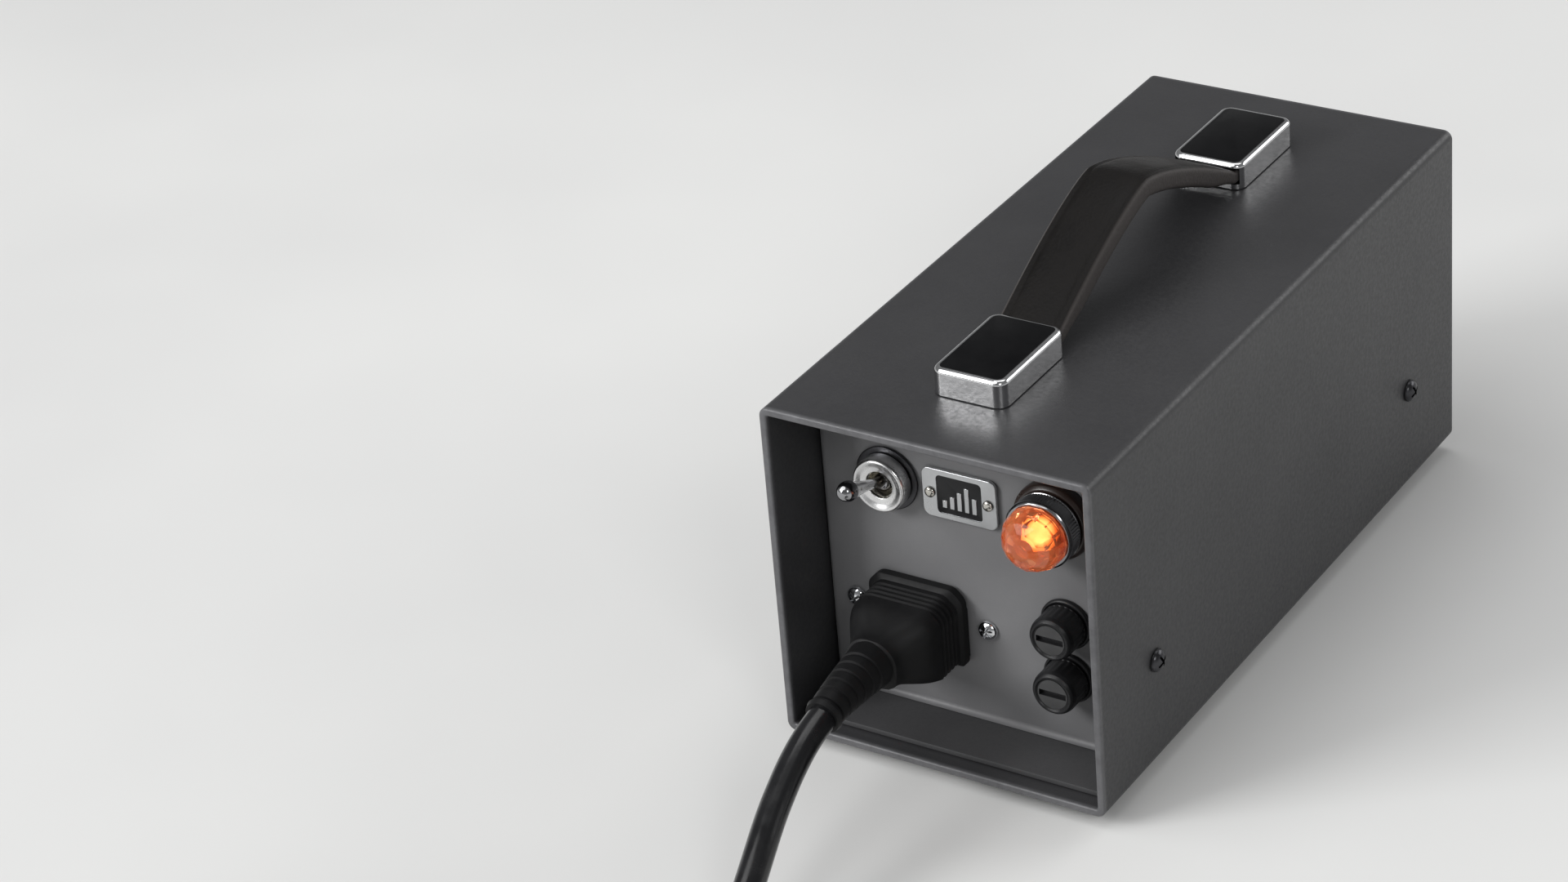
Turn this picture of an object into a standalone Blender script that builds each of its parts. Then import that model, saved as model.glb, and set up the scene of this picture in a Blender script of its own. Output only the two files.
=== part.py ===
"""Microphone preamp: a mains-powered box with a recessed control panel, a strap handle and its mains lead.

The origin is on the surface that the feet stand on, under the middle of the case. +X is to the right
seen from the front, +Y runs to the back and +Z is up. Everything is in metres.
"""

import math

import bmesh
import bpy
from mathutils import Matrix, Vector
from mathutils.geometry import interpolate_bezier

# Driving dimensions
MM = 0.001
WIDTH = 96 * MM
HEIGHT = 99 * MM  # of the case, without its feet
LENGTH = 213 * MM
WALL = 2.2 * MM
CORNER = 2.6 * MM
FOOT = 4 * MM  # the case's underside is this high above the ground
GAP = 0.3 * MM  # left between touching pieces
SHEET = 1.6 * MM  # thickness of the panels and the tray
RECESS = 22.5 * MM  # depth of both panels behind the case's rims

FRONT = -LENGTH / 2
BACK = LENGTH / 2
FRONT_PANEL = FRONT + RECESS  # outer face of the front panel
REAR_PANEL = BACK - RECESS
TOP = FOOT + HEIGHT
PANEL_WIDTH = WIDTH - 2 * WALL - 2 * GAP
TRAY_TOP = FOOT + WALL + GAP + SHEET
PANEL_LOW = TRAY_TOP + GAP
PANEL_HIGH = TOP - WALL - GAP
RETURN = 14 * MM  # how far a panel's side returns run inwards
TRAY_SETBACK = 5 * MM  # of the tray's ends behind the case's rims
TRAY_SIDE = 14 * MM  # height of the tray's upturned sides
TRAY_SIDE_Y = LENGTH / 2 - 40 * MM  # half the length of those sides

# Places on the front panel, as (x, height above the case's underside)
SWITCH_AT = (-24.5 * MM, 72 * MM)
BADGE_AT = (-2.6 * MM, 71.5 * MM)
LAMP_AT = (25.1 * MM, 72.2 * MM)
FUSE_X = 26.8 * MM
FUSE_HEIGHTS = {"upper": 41 * MM, "lower": 24.5 * MM}
INLET_AT = (-17 * MM, 32.2 * MM)
INLET_SCREW_PITCH = 40 * MM
INLET_SCREW_X = (INLET_AT[0] - INLET_SCREW_PITCH / 2, INLET_AT[0] + INLET_SCREW_PITCH / 2)
RIVET_X = (BADGE_AT[0] - 8.6 * MM, BADGE_AT[0] + 8.6 * MM)
PIN_PLACES = {"earth": (0, 2 * MM), "live": (7 * MM, -2 * MM), "neutral": (-7 * MM, -2 * MM)}
SWITCH_PIVOT = 2 * MM  # of the lever, in front of the panel
SWITCH_TILT = -19.5  # degrees; the lever points up when the switch is on

# Places on the rear panel
INPUT_AT = (20 * MM, 34 * MM)
OUTPUT_AT = (-20 * MM, 34 * MM)
LEVEL_AT = (0, 75 * MM)
LATCH_AT = (INPUT_AT[0], INPUT_AT[1] + 12.8 * MM)

SIDE_SCREW_HEIGHT = 31 * MM
SIDE_SCREW_Y = LENGTH / 2 - 30 * MM
FOOT_X = 34 * MM
FOOT_Y = LENGTH / 2 - 22 * MM

# Radii of the holes, in millimetres
SCREW_HOLE = 1.9
INLET_SCREW_HOLE = 1.8
RIVET_HOLE = 1.1
SWITCH_HOLE = 5.4
LAMP_HOLE = 7.4
FUSE_HOLE = 6.5
CONNECTOR_HOLE = 12.2
SOCKET = 9.6  # a rear connector's opening
LEVEL_HOLE = 4.9
CONTACT_RING = {"input": 5.6, "output": 3.6}  # radius of each connector's circle of contacts

# Handle
CAP_SIZE = (21.5 * MM, 33 * MM, 7.5 * MM)
CAP_Y = LENGTH / 2 - 40.5 * MM
STRAP_WIDTH = 19 * MM
STRAP_THICK = 4 * MM
STRAP_STRAIGHT = 6 * MM  # height of the straight ends' upper face above the case
STRAP_RISE = 21 * MM  # of the bow above the straight ends
STRAP_MOUTH = LENGTH / 2 - 58.8 * MM  # where the bow starts, from the middle
STRAP_TAIL = LENGTH / 2 - 39 * MM  # where the straight end stops
STRAP_BOW = 1.35  # how square-shouldered the bow is
STRAP_SWELL = 2 * MM  # how much thicker the bow is than the straight ends
HANDLE_SCREW_Y = LENGTH / 2 - 31 * MM

# Mains lead. Its routes are in millimetres.
CORD_RADIUS = 4 * MM
COIL_AT = (37 * MM, -231.5 * MM)
COIL_INSIDE = 32.9 * MM
COIL_OUTSIDE = 49.1 * MM
COIL_HEIGHT = 24.3 * MM
PLUG_RADIUS = 18.5 * MM
PLUG_AT = (24 * MM, -301 * MM)  # where the tail enters the plug's strain relief
BOOT_ROUTE = [
    (-17.0, -111.3, 35.9),
    (-17.0, -117.5, 35.8),
    (-17.0, -124.0, 35.5),
    (-17.0, -129.5, 35.0),
    (-17.0, -133.9, 34.2),
]
CORD_ROUTE = [
    (-17.0, -134.5, 34.1),
    (-16.9, -142.2, 32.4),
    (-16.3, -150.5, 29.8),
    (-15.2, -158.8, 26.6),
    (-13.7, -167.0, 23.3),
    (-11.9, -175.0, 19.7),
    (-10.4, -182.2, 16.0),
    (-9.3, -189.2, 11.9),
    (-8.6, -195.5, 7.9),
    (-8.2, -202.0, 4.8),
]
TAIL_ROUTE = [
    (-8.1, -261.2, 12.1),
    (-8.0, -269.5, 13.0),
    (-5.5, -281.2, 14.8),
    (1.5, -291.6, 16.6),
    (11.9, -298.6, 18.0),
    (17.8, -300.4, 18.4),
    (23.6, -301.0, 18.5),
]

FINE = 24  # segments round a large turned piece
COARSE = 16  # segments round a small one

TO_FRONT = Matrix.Rotation(math.radians(90), 4, "X")  # turns a piece's +Z to -Y
TO_BACK = Matrix.Rotation(math.radians(-90), 4, "X")
TO_RIGHT = Matrix.Rotation(math.radians(90), 4, "Y")
TO_LEFT = Matrix.Rotation(math.radians(-90), 4, "Y")
UPRIGHT = Matrix.Identity(4)

# Base colour (linear), roughness and metallic value of each material
PAINT = ((0.055, 0.055, 0.058), 0.42, 0.0)
PANEL_PAINT = ((0.19, 0.19, 0.195), 0.5, 0.0)
SHEET_METAL = ((0.50, 0.51, 0.52), 0.4, 1.0)
CHROME = ((0.75, 0.76, 0.78), 0.12, 1.0)
BLACK_PLASTIC = ((0.018, 0.018, 0.02), 0.4, 0.0)
BLACK_RUBBER = ((0.015, 0.015, 0.016), 0.6, 0.0)
BLACK_LEATHER = ((0.02, 0.017, 0.015), 0.5, 0.0)
DARK_STEEL = ((0.10, 0.10, 0.11), 0.35, 1.0)
AMBER = ((0.90, 0.17, 0.02), 0.12, 0.0)
GLASS = ((0.85, 0.85, 0.80), 0.05, 0.0)
NICKEL = ((0.65, 0.63, 0.58), 0.22, 1.0)
LAMINATION = ((0.12, 0.12, 0.13), 0.5, 0.8)
TAPE = ((0.60, 0.42, 0.08), 0.5, 0.0)
BOARD = ((0.02, 0.13, 0.05), 0.45, 0.0)
SLEEVE_BLUE = ((0.03, 0.06, 0.20), 0.4, 0.0)


def clear_scene():
    for obj in list(bpy.data.objects):
        bpy.data.objects.remove(obj)


def collection(name):
    made = bpy.data.collections.new(name)
    bpy.context.scene.collection.children.link(made)
    return made


def finish_object(name, data, look, place=UPRIGHT):
    """Puts a part's data into the part collection with its own material."""
    obj = bpy.data.objects.new(name, data)
    obj.matrix_world = place
    PARTS.objects.link(obj)
    colour, roughness, metallic = look
    material = bpy.data.materials.new(name)
    material.use_nodes = True
    shader = material.node_tree.nodes["Principled BSDF"]
    shader.inputs["Base Color"].default_value = (*colour, 1)
    shader.inputs["Roughness"].default_value = roughness
    shader.inputs["Metallic"].default_value = metallic
    data.materials.append(material)
    return obj


def as_cutter(obj):
    """Moves an object to the cutters, which are guides and not parts."""
    PARTS.objects.unlink(obj)
    CUTTERS.objects.link(obj)
    obj.hide_render = True
    obj.display_type = "WIRE"
    return obj


def combine(obj, other, operation):
    boolean = obj.modifiers.new(operation.lower(), "BOOLEAN")
    boolean.operation = operation
    boolean.solver = "EXACT"
    boolean.object = as_cutter(other)


def cut(obj, *tools):
    for tool in tools:
        combine(obj, tool, "DIFFERENCE")


def join(obj, *others):
    for other in others:
        combine(obj, other, "UNION")


def at(x, y, z):
    return Matrix.Translation((x, y, z))


def on_front(place, depth=0.0):
    """A frame on the front panel, `depth` in front of its face: +Z out of the panel, +Y up."""
    x, height = place
    return at(x, FRONT_PANEL - depth, FOOT + height) @ TO_FRONT


def on_rear(place, depth=0.0):
    """A frame on the rear panel, `depth` behind its face: +Z out of the panel, +Y down."""
    x, height = place
    return at(x, REAR_PANEL + depth, FOOT + height) @ TO_BACK


def smooth(mesh, angle=35):
    mesh.shade_smooth()
    mesh.set_sharp_from_angle(angle=math.radians(angle))


def box(name, size, look, place=UPRIGHT, bevel=0.0, segments=2):
    """A box centred on its place, with rounded edges where `bevel` is given."""
    mesh = bpy.data.meshes.new(name)
    shape = bmesh.new()
    bmesh.ops.create_cube(shape, size=1)
    bmesh.ops.scale(shape, vec=size, verts=shape.verts)
    shape.to_mesh(mesh)
    shape.free()
    obj = finish_object(name, mesh, look, place)
    if bevel:
        rounding = obj.modifiers.new("rounding", "BEVEL")
        rounding.width = bevel
        rounding.segments = segments
        rounding.limit_method = "ANGLE"
    return obj


def turned(name, profile, look, place=UPRIGHT, steps=COARSE, ring=False):
    """A turned piece. Its profile holds (radius, height) pairs in millimetres and runs down its outer side."""
    mesh = bpy.data.meshes.new(name)
    points = [(radius * MM, 0, height * MM) for radius, height in profile]
    edges = [(k, k + 1) for k in range(len(points) - 1)]
    if ring:
        edges.append((len(points) - 1, 0))
    mesh.from_pydata(points, edges, [])
    obj = finish_object(name, mesh, look, place)
    screw = obj.modifiers.new("turning", "SCREW")
    screw.steps = steps
    screw.render_steps = steps
    screw.use_merge_vertices = True
    screw.merge_threshold = 0.00001
    screw.use_normal_calculate = False
    screw.use_smooth_shade = True
    return obj


def washer(name, inner, outer, low, high, look, place, steps=COARSE, edge=0.3):
    """A flat ring between two heights, with its outer edges broken."""
    profile = [(inner, high), (outer - edge, high), (outer, high - edge), (outer, low), (inner, low)]
    return turned(name, profile, look, place, steps, ring=True)


def drill(radius, low, high, place, steps=COARSE):
    """A cylindrical cutter, in millimetres, between two heights of its place."""
    profile = [(0, high), (radius, high), (radius, low), (0, low)]
    return turned("drill", profile, SHEET_METAL, place, steps)


def slot(size, place):
    return box("slot", size, SHEET_METAL, place)


def rounded_outline(width, height, radius, steps=3):
    """Points round a rectangle with rounded corners, counter-clockwise."""
    corners = [(1, 1, 0), (-1, 1, 90), (-1, -1, 180), (1, -1, 270)]
    points = []
    for side, up, start in corners:
        for k in range(steps + 1):
            turn = math.radians(start + 90 * k / steps)
            x = side * (width / 2 - radius) + radius * math.cos(turn)
            y = up * (height / 2 - radius) + radius * math.sin(turn)
            points.append((x, y))
    return points


def inlet_outline(width, height, chamfer):
    """The outline of a mains inlet: a rectangle whose two upper corners are cut off."""
    x, y = width / 2, height / 2
    return [(x, y - chamfer), (x - chamfer, y), (chamfer - x, y), (-x, y - chamfer), (-x, -y), (x, -y)]


def loft(name, sections, look, place=UPRIGHT):
    """A solid through outlines with equally many points. Each section is (outline, height, shift)."""
    mesh = bpy.data.meshes.new(name)
    shape = bmesh.new()
    rings = []
    for outline, height, shift in sections:
        rings.append([shape.verts.new((x, y + shift, height)) for x, y in outline])
    shape.faces.new(list(reversed(rings[0])))
    shape.faces.new(rings[-1])
    count = len(rings[0])
    for below, above in zip(rings, rings[1:]):
        for k in range(count):
            following = (k + 1) % count
            shape.faces.new((below[k], below[following], above[following], above[k]))
    bmesh.ops.recalc_face_normals(shape, faces=shape.faces)
    shape.to_mesh(mesh)
    shape.free()
    smooth(mesh)
    return finish_object(name, mesh, look, place)


def smooth_route(points, step):
    """Points about `step` apart on a smooth curve through the route's own points, in metres."""
    knots = [Vector(p) * MM for p in points]
    padded = [2 * knots[0] - knots[1], *knots, 2 * knots[-1] - knots[-2]]
    dense = []
    for k in range(1, len(padded) - 2):
        before, start, end, after = padded[k - 1 : k + 3]
        piece = interpolate_bezier(start, start + (end - before) / 6, end - (after - start) / 6, end, 12)
        dense += piece[:-1]
    dense.append(knots[-1])
    length = sum((b - a).length for a, b in zip(dense, dense[1:]))
    count = max(2, round(length / step))
    spaced = [dense[0]]
    walked = 0.0
    for a, b in zip(dense, dense[1:]):
        walked += (b - a).length
        if walked >= length * len(spaced) / count and len(spaced) < count:
            spaced.append(b)
    spaced.append(dense[-1])
    return spaced


def tube(name, points, radius, look, radii=None):
    """A round tube along points in metres. `radii` gives each point's share of the radius."""
    data = bpy.data.curves.new(name, "CURVE")
    data.dimensions = "3D"
    data.bevel_depth = radius
    data.bevel_resolution = 2
    data.use_fill_caps = True
    spline = data.splines.new("POLY")
    spline.points.add(len(points) - 1)
    for k, point in enumerate(points):
        spline.points[k].co = (*point, 1)
        spline.points[k].radius = radii[k] if radii else 1
    return finish_object(name, data, look)


def channel(name, width, height, depth, look, place):
    """A sheet bent into a U: a face in the local XY plane and two returns that run to -Z."""
    mesh = bpy.data.meshes.new(name)
    shape = bmesh.new()
    bmesh.ops.create_cube(shape, size=1)
    bmesh.ops.scale(shape, vec=(width, height, depth), verts=shape.verts)
    bmesh.ops.translate(shape, vec=(0, 0, -depth / 2), verts=shape.verts)
    shape.normal_update()
    open_sides = [f for f in shape.faces if abs(f.normal.y) > 0.5 or f.normal.z < -0.5]
    bmesh.ops.delete(shape, geom=open_sides, context="FACES")
    shape.to_mesh(mesh)
    shape.free()
    obj = finish_object(name, mesh, look, place)
    bend = obj.modifiers.new("bend", "BEVEL")
    bend.width = 1.8 * MM
    bend.segments = 3
    bend.limit_method = "ANGLE"
    thicken = obj.modifiers.new("thicken", "SOLIDIFY")
    thicken.thickness = SHEET
    thicken.offset = -1
    return obj


def screw(name, head, look, place, shank=1.5, reach=7.0):
    """A dome-headed screw. Its head starts GAP above its place and its shank runs down through it."""
    radius, high = head
    base = GAP / MM
    profile = [(0, base + high), (radius * 0.5, base + high * 0.9), (radius * 0.85, base + high * 0.55)]
    profile += [(radius, base + high * 0.1), (radius, base), (shank, base), (shank, -reach), (0, -reach)]
    return turned(name, profile, look, place, 16)


def sleeve():
    """The outer case: a seamless rectangular tube that is open at both ends."""
    mesh = bpy.data.meshes.new("case_sleeve")
    shape = bmesh.new()
    bmesh.ops.create_cube(shape, size=1)
    bmesh.ops.scale(shape, vec=(WIDTH, LENGTH, HEIGHT), verts=shape.verts)
    shape.normal_update()
    ends = [f for f in shape.faces if abs(f.normal.y) > 0.5]
    bmesh.ops.delete(shape, geom=ends, context="FACES")
    shape.to_mesh(mesh)
    shape.free()
    obj = finish_object("case_sleeve", mesh, PAINT, at(0, 0, FOOT + HEIGHT / 2))
    rounding = obj.modifiers.new("rounding", "BEVEL")
    rounding.width = CORNER
    rounding.segments = 3
    rounding.limit_method = "ANGLE"
    thicken = obj.modifiers.new("thicken", "SOLIDIFY")
    thicken.thickness = WALL
    thicken.offset = -1
    for y in (-SIDE_SCREW_Y, SIDE_SCREW_Y):
        for side, turn in ((1, TO_RIGHT), (-1, TO_LEFT)):
            place = at(side * WIDTH / 2, y, FOOT + SIDE_SCREW_HEIGHT) @ turn
            cut(obj, drill(SCREW_HOLE, -4, 2, place, 16))
    for y in (-HANDLE_SCREW_Y, HANDLE_SCREW_Y):
        cut(obj, drill(SCREW_HOLE, -4, 2, at(0, y, TOP), 16))


def tray():
    """The chassis tray: a floor that slides into the sleeve, with two upturned sides between the panels."""
    size = (PANEL_WIDTH, LENGTH - 2 * TRAY_SETBACK, SHEET)
    obj = box("chassis_tray", size, SHEET_METAL, at(0, 0, TRAY_TOP - SHEET / 2))
    for side in (-1, 1):
        x = side * (PANEL_WIDTH - SHEET) / 2
        low = TRAY_TOP - SHEET / 2
        high = TRAY_TOP + TRAY_SIDE
        size = (SHEET, 2 * TRAY_SIDE_Y, high - low)
        join(obj, box("tray_side", size, SHEET_METAL, at(x, 0, (low + high) / 2)))


def panels():
    """Both panels. Each is a bent sheet whose side returns take the side screws."""
    height = PANEL_HIGH - PANEL_LOW
    middle = (PANEL_HIGH + PANEL_LOW) / 2
    front_at = at(0, FRONT_PANEL, middle) @ TO_FRONT
    rear_at = at(0, REAR_PANEL, middle) @ TO_BACK
    front = channel("front_panel", PANEL_WIDTH, height, RETURN, PANEL_PAINT, front_at)
    rear = channel("rear_panel", PANEL_WIDTH, height, RETURN, PANEL_PAINT, rear_at)
    for obj, y in ((front, -SIDE_SCREW_Y), (rear, SIDE_SCREW_Y)):
        for side, turn in ((1, TO_RIGHT), (-1, TO_LEFT)):
            place = at(side * WIDTH / 2, y, FOOT + SIDE_SCREW_HEIGHT) @ turn
            cut(obj, drill(SCREW_HOLE, -6, 2, place, 16))
    cut(front, drill(SWITCH_HOLE, -4, 4, on_front(SWITCH_AT)), drill(LAMP_HOLE, -4, 4, on_front(LAMP_AT)))
    for height in FUSE_HEIGHTS.values():
        cut(front, drill(FUSE_HOLE, -4, 4, on_front((FUSE_X, height))))
    for x in INLET_SCREW_X:
        cut(front, drill(INLET_SCREW_HOLE, -4, 4, on_front((x, INLET_AT[1])), 16))
    for x in RIVET_X:
        cut(front, drill(RIVET_HOLE, -4, 4, on_front((x, BADGE_AT[1])), 12))
    opening = inlet_outline(27.6 * MM, 20.2 * MM, 5 * MM)
    cut(front, loft("opening", [(opening, -5 * MM, 0), (opening, 5 * MM, 0)], PAINT, on_front(INLET_AT)))
    for place in (INPUT_AT, OUTPUT_AT):
        cut(rear, drill(CONNECTOR_HOLE, -4, 4, on_rear(place), FINE))
    cut(rear, drill(LEVEL_HOLE, -4, 4, on_rear(LEVEL_AT)))
    cut(rear, slot((7.6 * MM, 4.2 * MM, 8 * MM), on_rear(LATCH_AT)))


def fasteners():
    """The side screws, the handle screws and the feet."""
    for end, y in (("front", -SIDE_SCREW_Y), ("rear", SIDE_SCREW_Y)):
        for hand, side, turn in (("right", 1, TO_RIGHT), ("left", -1, TO_LEFT)):
            place = at(side * WIDTH / 2, y, FOOT + SIDE_SCREW_HEIGHT) @ turn
            screw(f"side_screw_{end}_{hand}", (3.2, 2.0), DARK_STEEL, place)
            foot_place = at(side * FOOT_X, math.copysign(FOOT_Y, y), 0)
            profile = [(0, 3.7), (7, 3.7), (7, 3.0), (6.2, 0.5), (5.7, 0), (0, 0)]
            turned(f"foot_{end}_{hand}", profile, BLACK_RUBBER, foot_place, FINE)
    for end, y in (("front", -HANDLE_SCREW_Y), ("rear", HANDLE_SCREW_Y)):
        place = at(0, y, TOP - WALL) @ Matrix.Rotation(math.pi, 4, "X")
        screw(f"handle_screw_{end}", (3.0, 1.9), SHEET_METAL, place, reach=7.0)


def strap_height(y):
    """Height of the strap's upper face above the case's top, at a distance from the middle."""
    if y >= STRAP_MOUTH:
        return STRAP_STRAIGHT
    share = 1 - (y / STRAP_MOUTH) ** STRAP_BOW
    return STRAP_STRAIGHT + STRAP_RISE * share


def strap_outline():
    """The strap's side view as (y, z) points: its middle line, moved by half its thickness both ways."""
    steps = 30
    middle, half = [], []
    for k in range(-steps, steps + 1):
        y = STRAP_TAIL * math.sin(math.pi / 2 * k / steps)
        grown = min(1.0, max(0.0, (STRAP_MOUTH - abs(y)) / (14 * MM)))
        half.append((STRAP_THICK + STRAP_SWELL * grown * grown * (3 - 2 * grown)) / 2)
        middle.append((y, TOP + strap_height(abs(y)) - half[-1]))
    upper, lower = [], []
    for k, (y, z) in enumerate(middle):
        y0, z0 = middle[max(k - 1, 0)]
        y1, z1 = middle[min(k + 1, len(middle) - 1)]
        run = math.hypot(y1 - y0, z1 - z0)
        across = (-(z1 - z0) / run * half[k], (y1 - y0) / run * half[k])
        upper.append((y + across[0], z + across[1]))
        lower.append((y - across[0], z - across[1]))
    return lower + list(reversed(upper))


def handle():
    """The strap and the two caps that hold its ends."""
    data = bpy.data.curves.new("handle_strap", "CURVE")
    data.dimensions = "2D"
    data.fill_mode = "BOTH"
    data.extrude = STRAP_WIDTH / 2
    outline = strap_outline()
    spline = data.splines.new("POLY")
    spline.points.add(len(outline) - 1)
    for k, (y, z) in enumerate(outline):
        spline.points[k].co = (y, z, 0, 1)
    spline.use_cyclic_u = True
    sideways = Matrix.Rotation(math.radians(90), 4, "Z") @ Matrix.Rotation(math.radians(90), 4, "X")
    finish_object("handle_strap", data, BLACK_LEATHER, sideways)
    width, length, height = CAP_SIZE
    room = STRAP_WIDTH + 2 * GAP
    for end, side in (("front", -1), ("rear", 1)):
        middle = TOP + GAP + height / 2
        cap = box(f"handle_cap_{end}", CAP_SIZE, CHROME, at(0, side * CAP_Y, middle), 1.6 * MM, 3)
        inner = CAP_Y - length / 2
        mouth = slot((room, 24 * MM, 4.9 * MM), at(0, side * (inner + 7.5 * MM), TOP + 3.9 * MM))
        cut(cap, mouth, drill(SCREW_HOLE, -1, 5.6, at(0, side * HANDLE_SCREW_Y, TOP), 16))


def power_switch():
    """The toggle switch: body and bushing, washer, dress nut and lever."""
    place = on_front(SWITCH_AT)
    size = (15 * MM, 26 * MM, 20 * MM)
    body = box("switch_body", size, BLACK_PLASTIC, place @ at(0, 0, -12.2 * MM), 0.8 * MM)
    bushing = turned("bushing", [(0, 4.4), (4.6, 4.4), (5, 4.0), (5, -4), (0, -4)], NICKEL, place, FINE)
    join(body, bushing)
    bore = [(0, 6), (4.2, 6), (4.2, 4.9), (3.55, 3.6), (3.55, -1.6), (2.6, -2.6), (0, -2.6)]
    cut(body, turned("bore", bore, NICKEL, place, FINE))
    washer("switch_washer", 5.4, 9.2, 0.3, 1.2, DARK_STEEL, place, FINE)
    dish = [(5.3, 3.6), (7.0, 5.7), (7.5, 5.7), (7.75, 5.4), (7.75, 1.5), (5.3, 1.5)]
    turned("switch_nut", dish, CHROME, place, FINE, ring=True)
    lever = [(0, 21.9), (1.6, 21.4), (2.5, 20.2), (2.8, 18.6), (2.5, 16.8), (1.9, 14.0)]
    lever += [(1.35, 7.0), (1.35, 2.6), (2.2, 1.6), (2.6, 0), (2.2, -1.2), (0, -1.9)]
    tilt = Matrix.Rotation(math.radians(SWITCH_TILT), 4, "X")
    turned("switch_lever", lever, CHROME, place @ at(0, 0, SWITCH_PIVOT) @ tilt, 24)


def badge():
    """A plain plate held by two rivets."""
    outline = rounded_outline(22 * MM, 14.5 * MM, 2.2 * MM)
    plate = loft("name_plate", [(outline, 0.3 * MM, 0), (outline, 1.4 * MM, 0)], NICKEL, on_front(BADGE_AT))
    for hand, x in zip(("left", "right"), RIVET_X):
        place = on_front((x, BADGE_AT[1]), 1.4 * MM)
        cut(plate, drill(RIVET_HOLE, -3, 2, place, 12))
        screw(f"name_plate_rivet_{hand}", (1.5, 0.7), NICKEL, place, shank=0.8, reach=4.0)


def pilot_lamp():
    """The pilot lamp: holder, flange, screwed bezel, jewel and bulb."""
    place = on_front(LAMP_AT)
    holder = [(0, 9.4), (7.0, 9.4), (7.0, -1.9), (9.0, -1.9), (9.0, -5.0), (7.2, -5.0), (7.2, -22)]
    holder += [(5.0, -24), (0, -24)]
    body = turned("lamp_holder", holder, NICKEL, place, FINE)
    cut(body, drill(5.6, -18, 12, place, FINE))
    flange = [(7.4, 3.8), (9.9, 3.8), (10.9, 2.8), (11.1, 0.3), (7.4, 0.3)]
    turned("lamp_flange", flange, BLACK_PLASTIC, place, FINE, ring=True)
    bezel = [(7.7, 10.0), (9.2, 10.0), (9.7, 9.5), (9.7, 4.6), (9.3, 4.1), (7.7, 4.1)]
    turned("lamp_bezel", bezel, CHROME, place, FINE, ring=True)
    outside = [(0, 19.2), (3.0, 18.8), (5.8, 17.4), (7.7, 15.2), (8.8, 12.4), (8.8, 10.3)]
    inside = [(7.35, 10.3), (7.35, 9.7), (6.0, 9.7), (6.0, 14.2), (3.6, 15.8), (0, 16.4)]
    turned("lamp_jewel", outside + inside, AMBER, place, FINE)
    bulb = [(0, 13.6), (2.4, 12.8), (4.0, 10.6), (4.3, 8.0), (3.6, 4.0), (3.6, 1.0)]
    bulb += [(4.6, 0.6), (4.6, -14), (0, -17)]
    turned("lamp_bulb", bulb, GLASS, place, COARSE)


def fuses():
    """Two fuse holders. Each cap carries its cartridge."""
    for name, height in FUSE_HEIGHTS.items():
        place = on_front((FUSE_X, height))
        holder = [(0, 1.6), (6.9, 1.6), (7.3, 1.2), (7.3, 0.3), (6.2, 0.3), (6.2, -26), (4.5, -28), (0, -28)]
        body = turned(f"fuse_holder_{name}", holder, BLACK_PLASTIC, place, 24)
        cut(body, drill(4.5, -25, 4, place, 24))
        cap = [(0, 10.0), (5.6, 10.0), (6.3, 9.3), (6.3, 1.9), (4.2, 1.9), (4.2, -3.6), (0, -3.6)]
        knob = turned(f"fuse_cap_{name}", cap, BLACK_PLASTIC, place, 24)
        coin_slot = slot((7.6 * MM, 2.0 * MM, 3 * MM), place @ at(0, 0, 10 * MM))
        cut(knob, coin_slot, drill(2.9, -6, -0.4, place))
        profile = [(0, -0.8), (2.6, -0.8), (2.6, -20.8), (0, -20.8)]
        turned(f"fuse_cartridge_{name}", profile, GLASS, place)


def mains_inlet():
    """The mains inlet behind its opening, its three pins and its two screws."""
    place = on_front(INLET_AT)
    outside = inlet_outline(27 * MM, 19.6 * MM, 4.8 * MM)
    wide = inlet_outline(50 * MM, 22.6 * MM, 4.8 * MM)
    sections = [(outside, -28 * MM, 0), (outside, -5 * MM, 0), (wide, -5 * MM, 0), (wide, -1.9 * MM, 0)]
    sections += [(outside, -1.9 * MM, 0), (outside, 0, 0)]
    body = loft("mains_inlet", sections, BLACK_PLASTIC, place)
    hollow = inlet_outline(24.6 * MM, 16.8 * MM, 4.2 * MM)
    cut(body, loft("hollow", [(hollow, -17 * MM, 0), (hollow, 2 * MM, 0)], PAINT, place))
    for x in (-INLET_SCREW_PITCH / 2, INLET_SCREW_PITCH / 2):
        cut(body, drill(INLET_SCREW_HOLE, -7, 0, place @ at(x, 0, 0), 16))
    for name, (x, y) in PIN_PLACES.items():
        cut(body, slot((2.6 * MM, 4.6 * MM, 14 * MM), place @ at(x, y, -20 * MM)))
        box(f"inlet_pin_{name}", (2 * MM, 4 * MM, 23 * MM), NICKEL, place @ at(x, y, -14.8 * MM))
    for hand, x in zip(("left", "right"), INLET_SCREW_X):
        screw(f"inlet_screw_{hand}", (2.9, 1.9), CHROME, on_front((x, INLET_AT[1])), reach=7.5)


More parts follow.
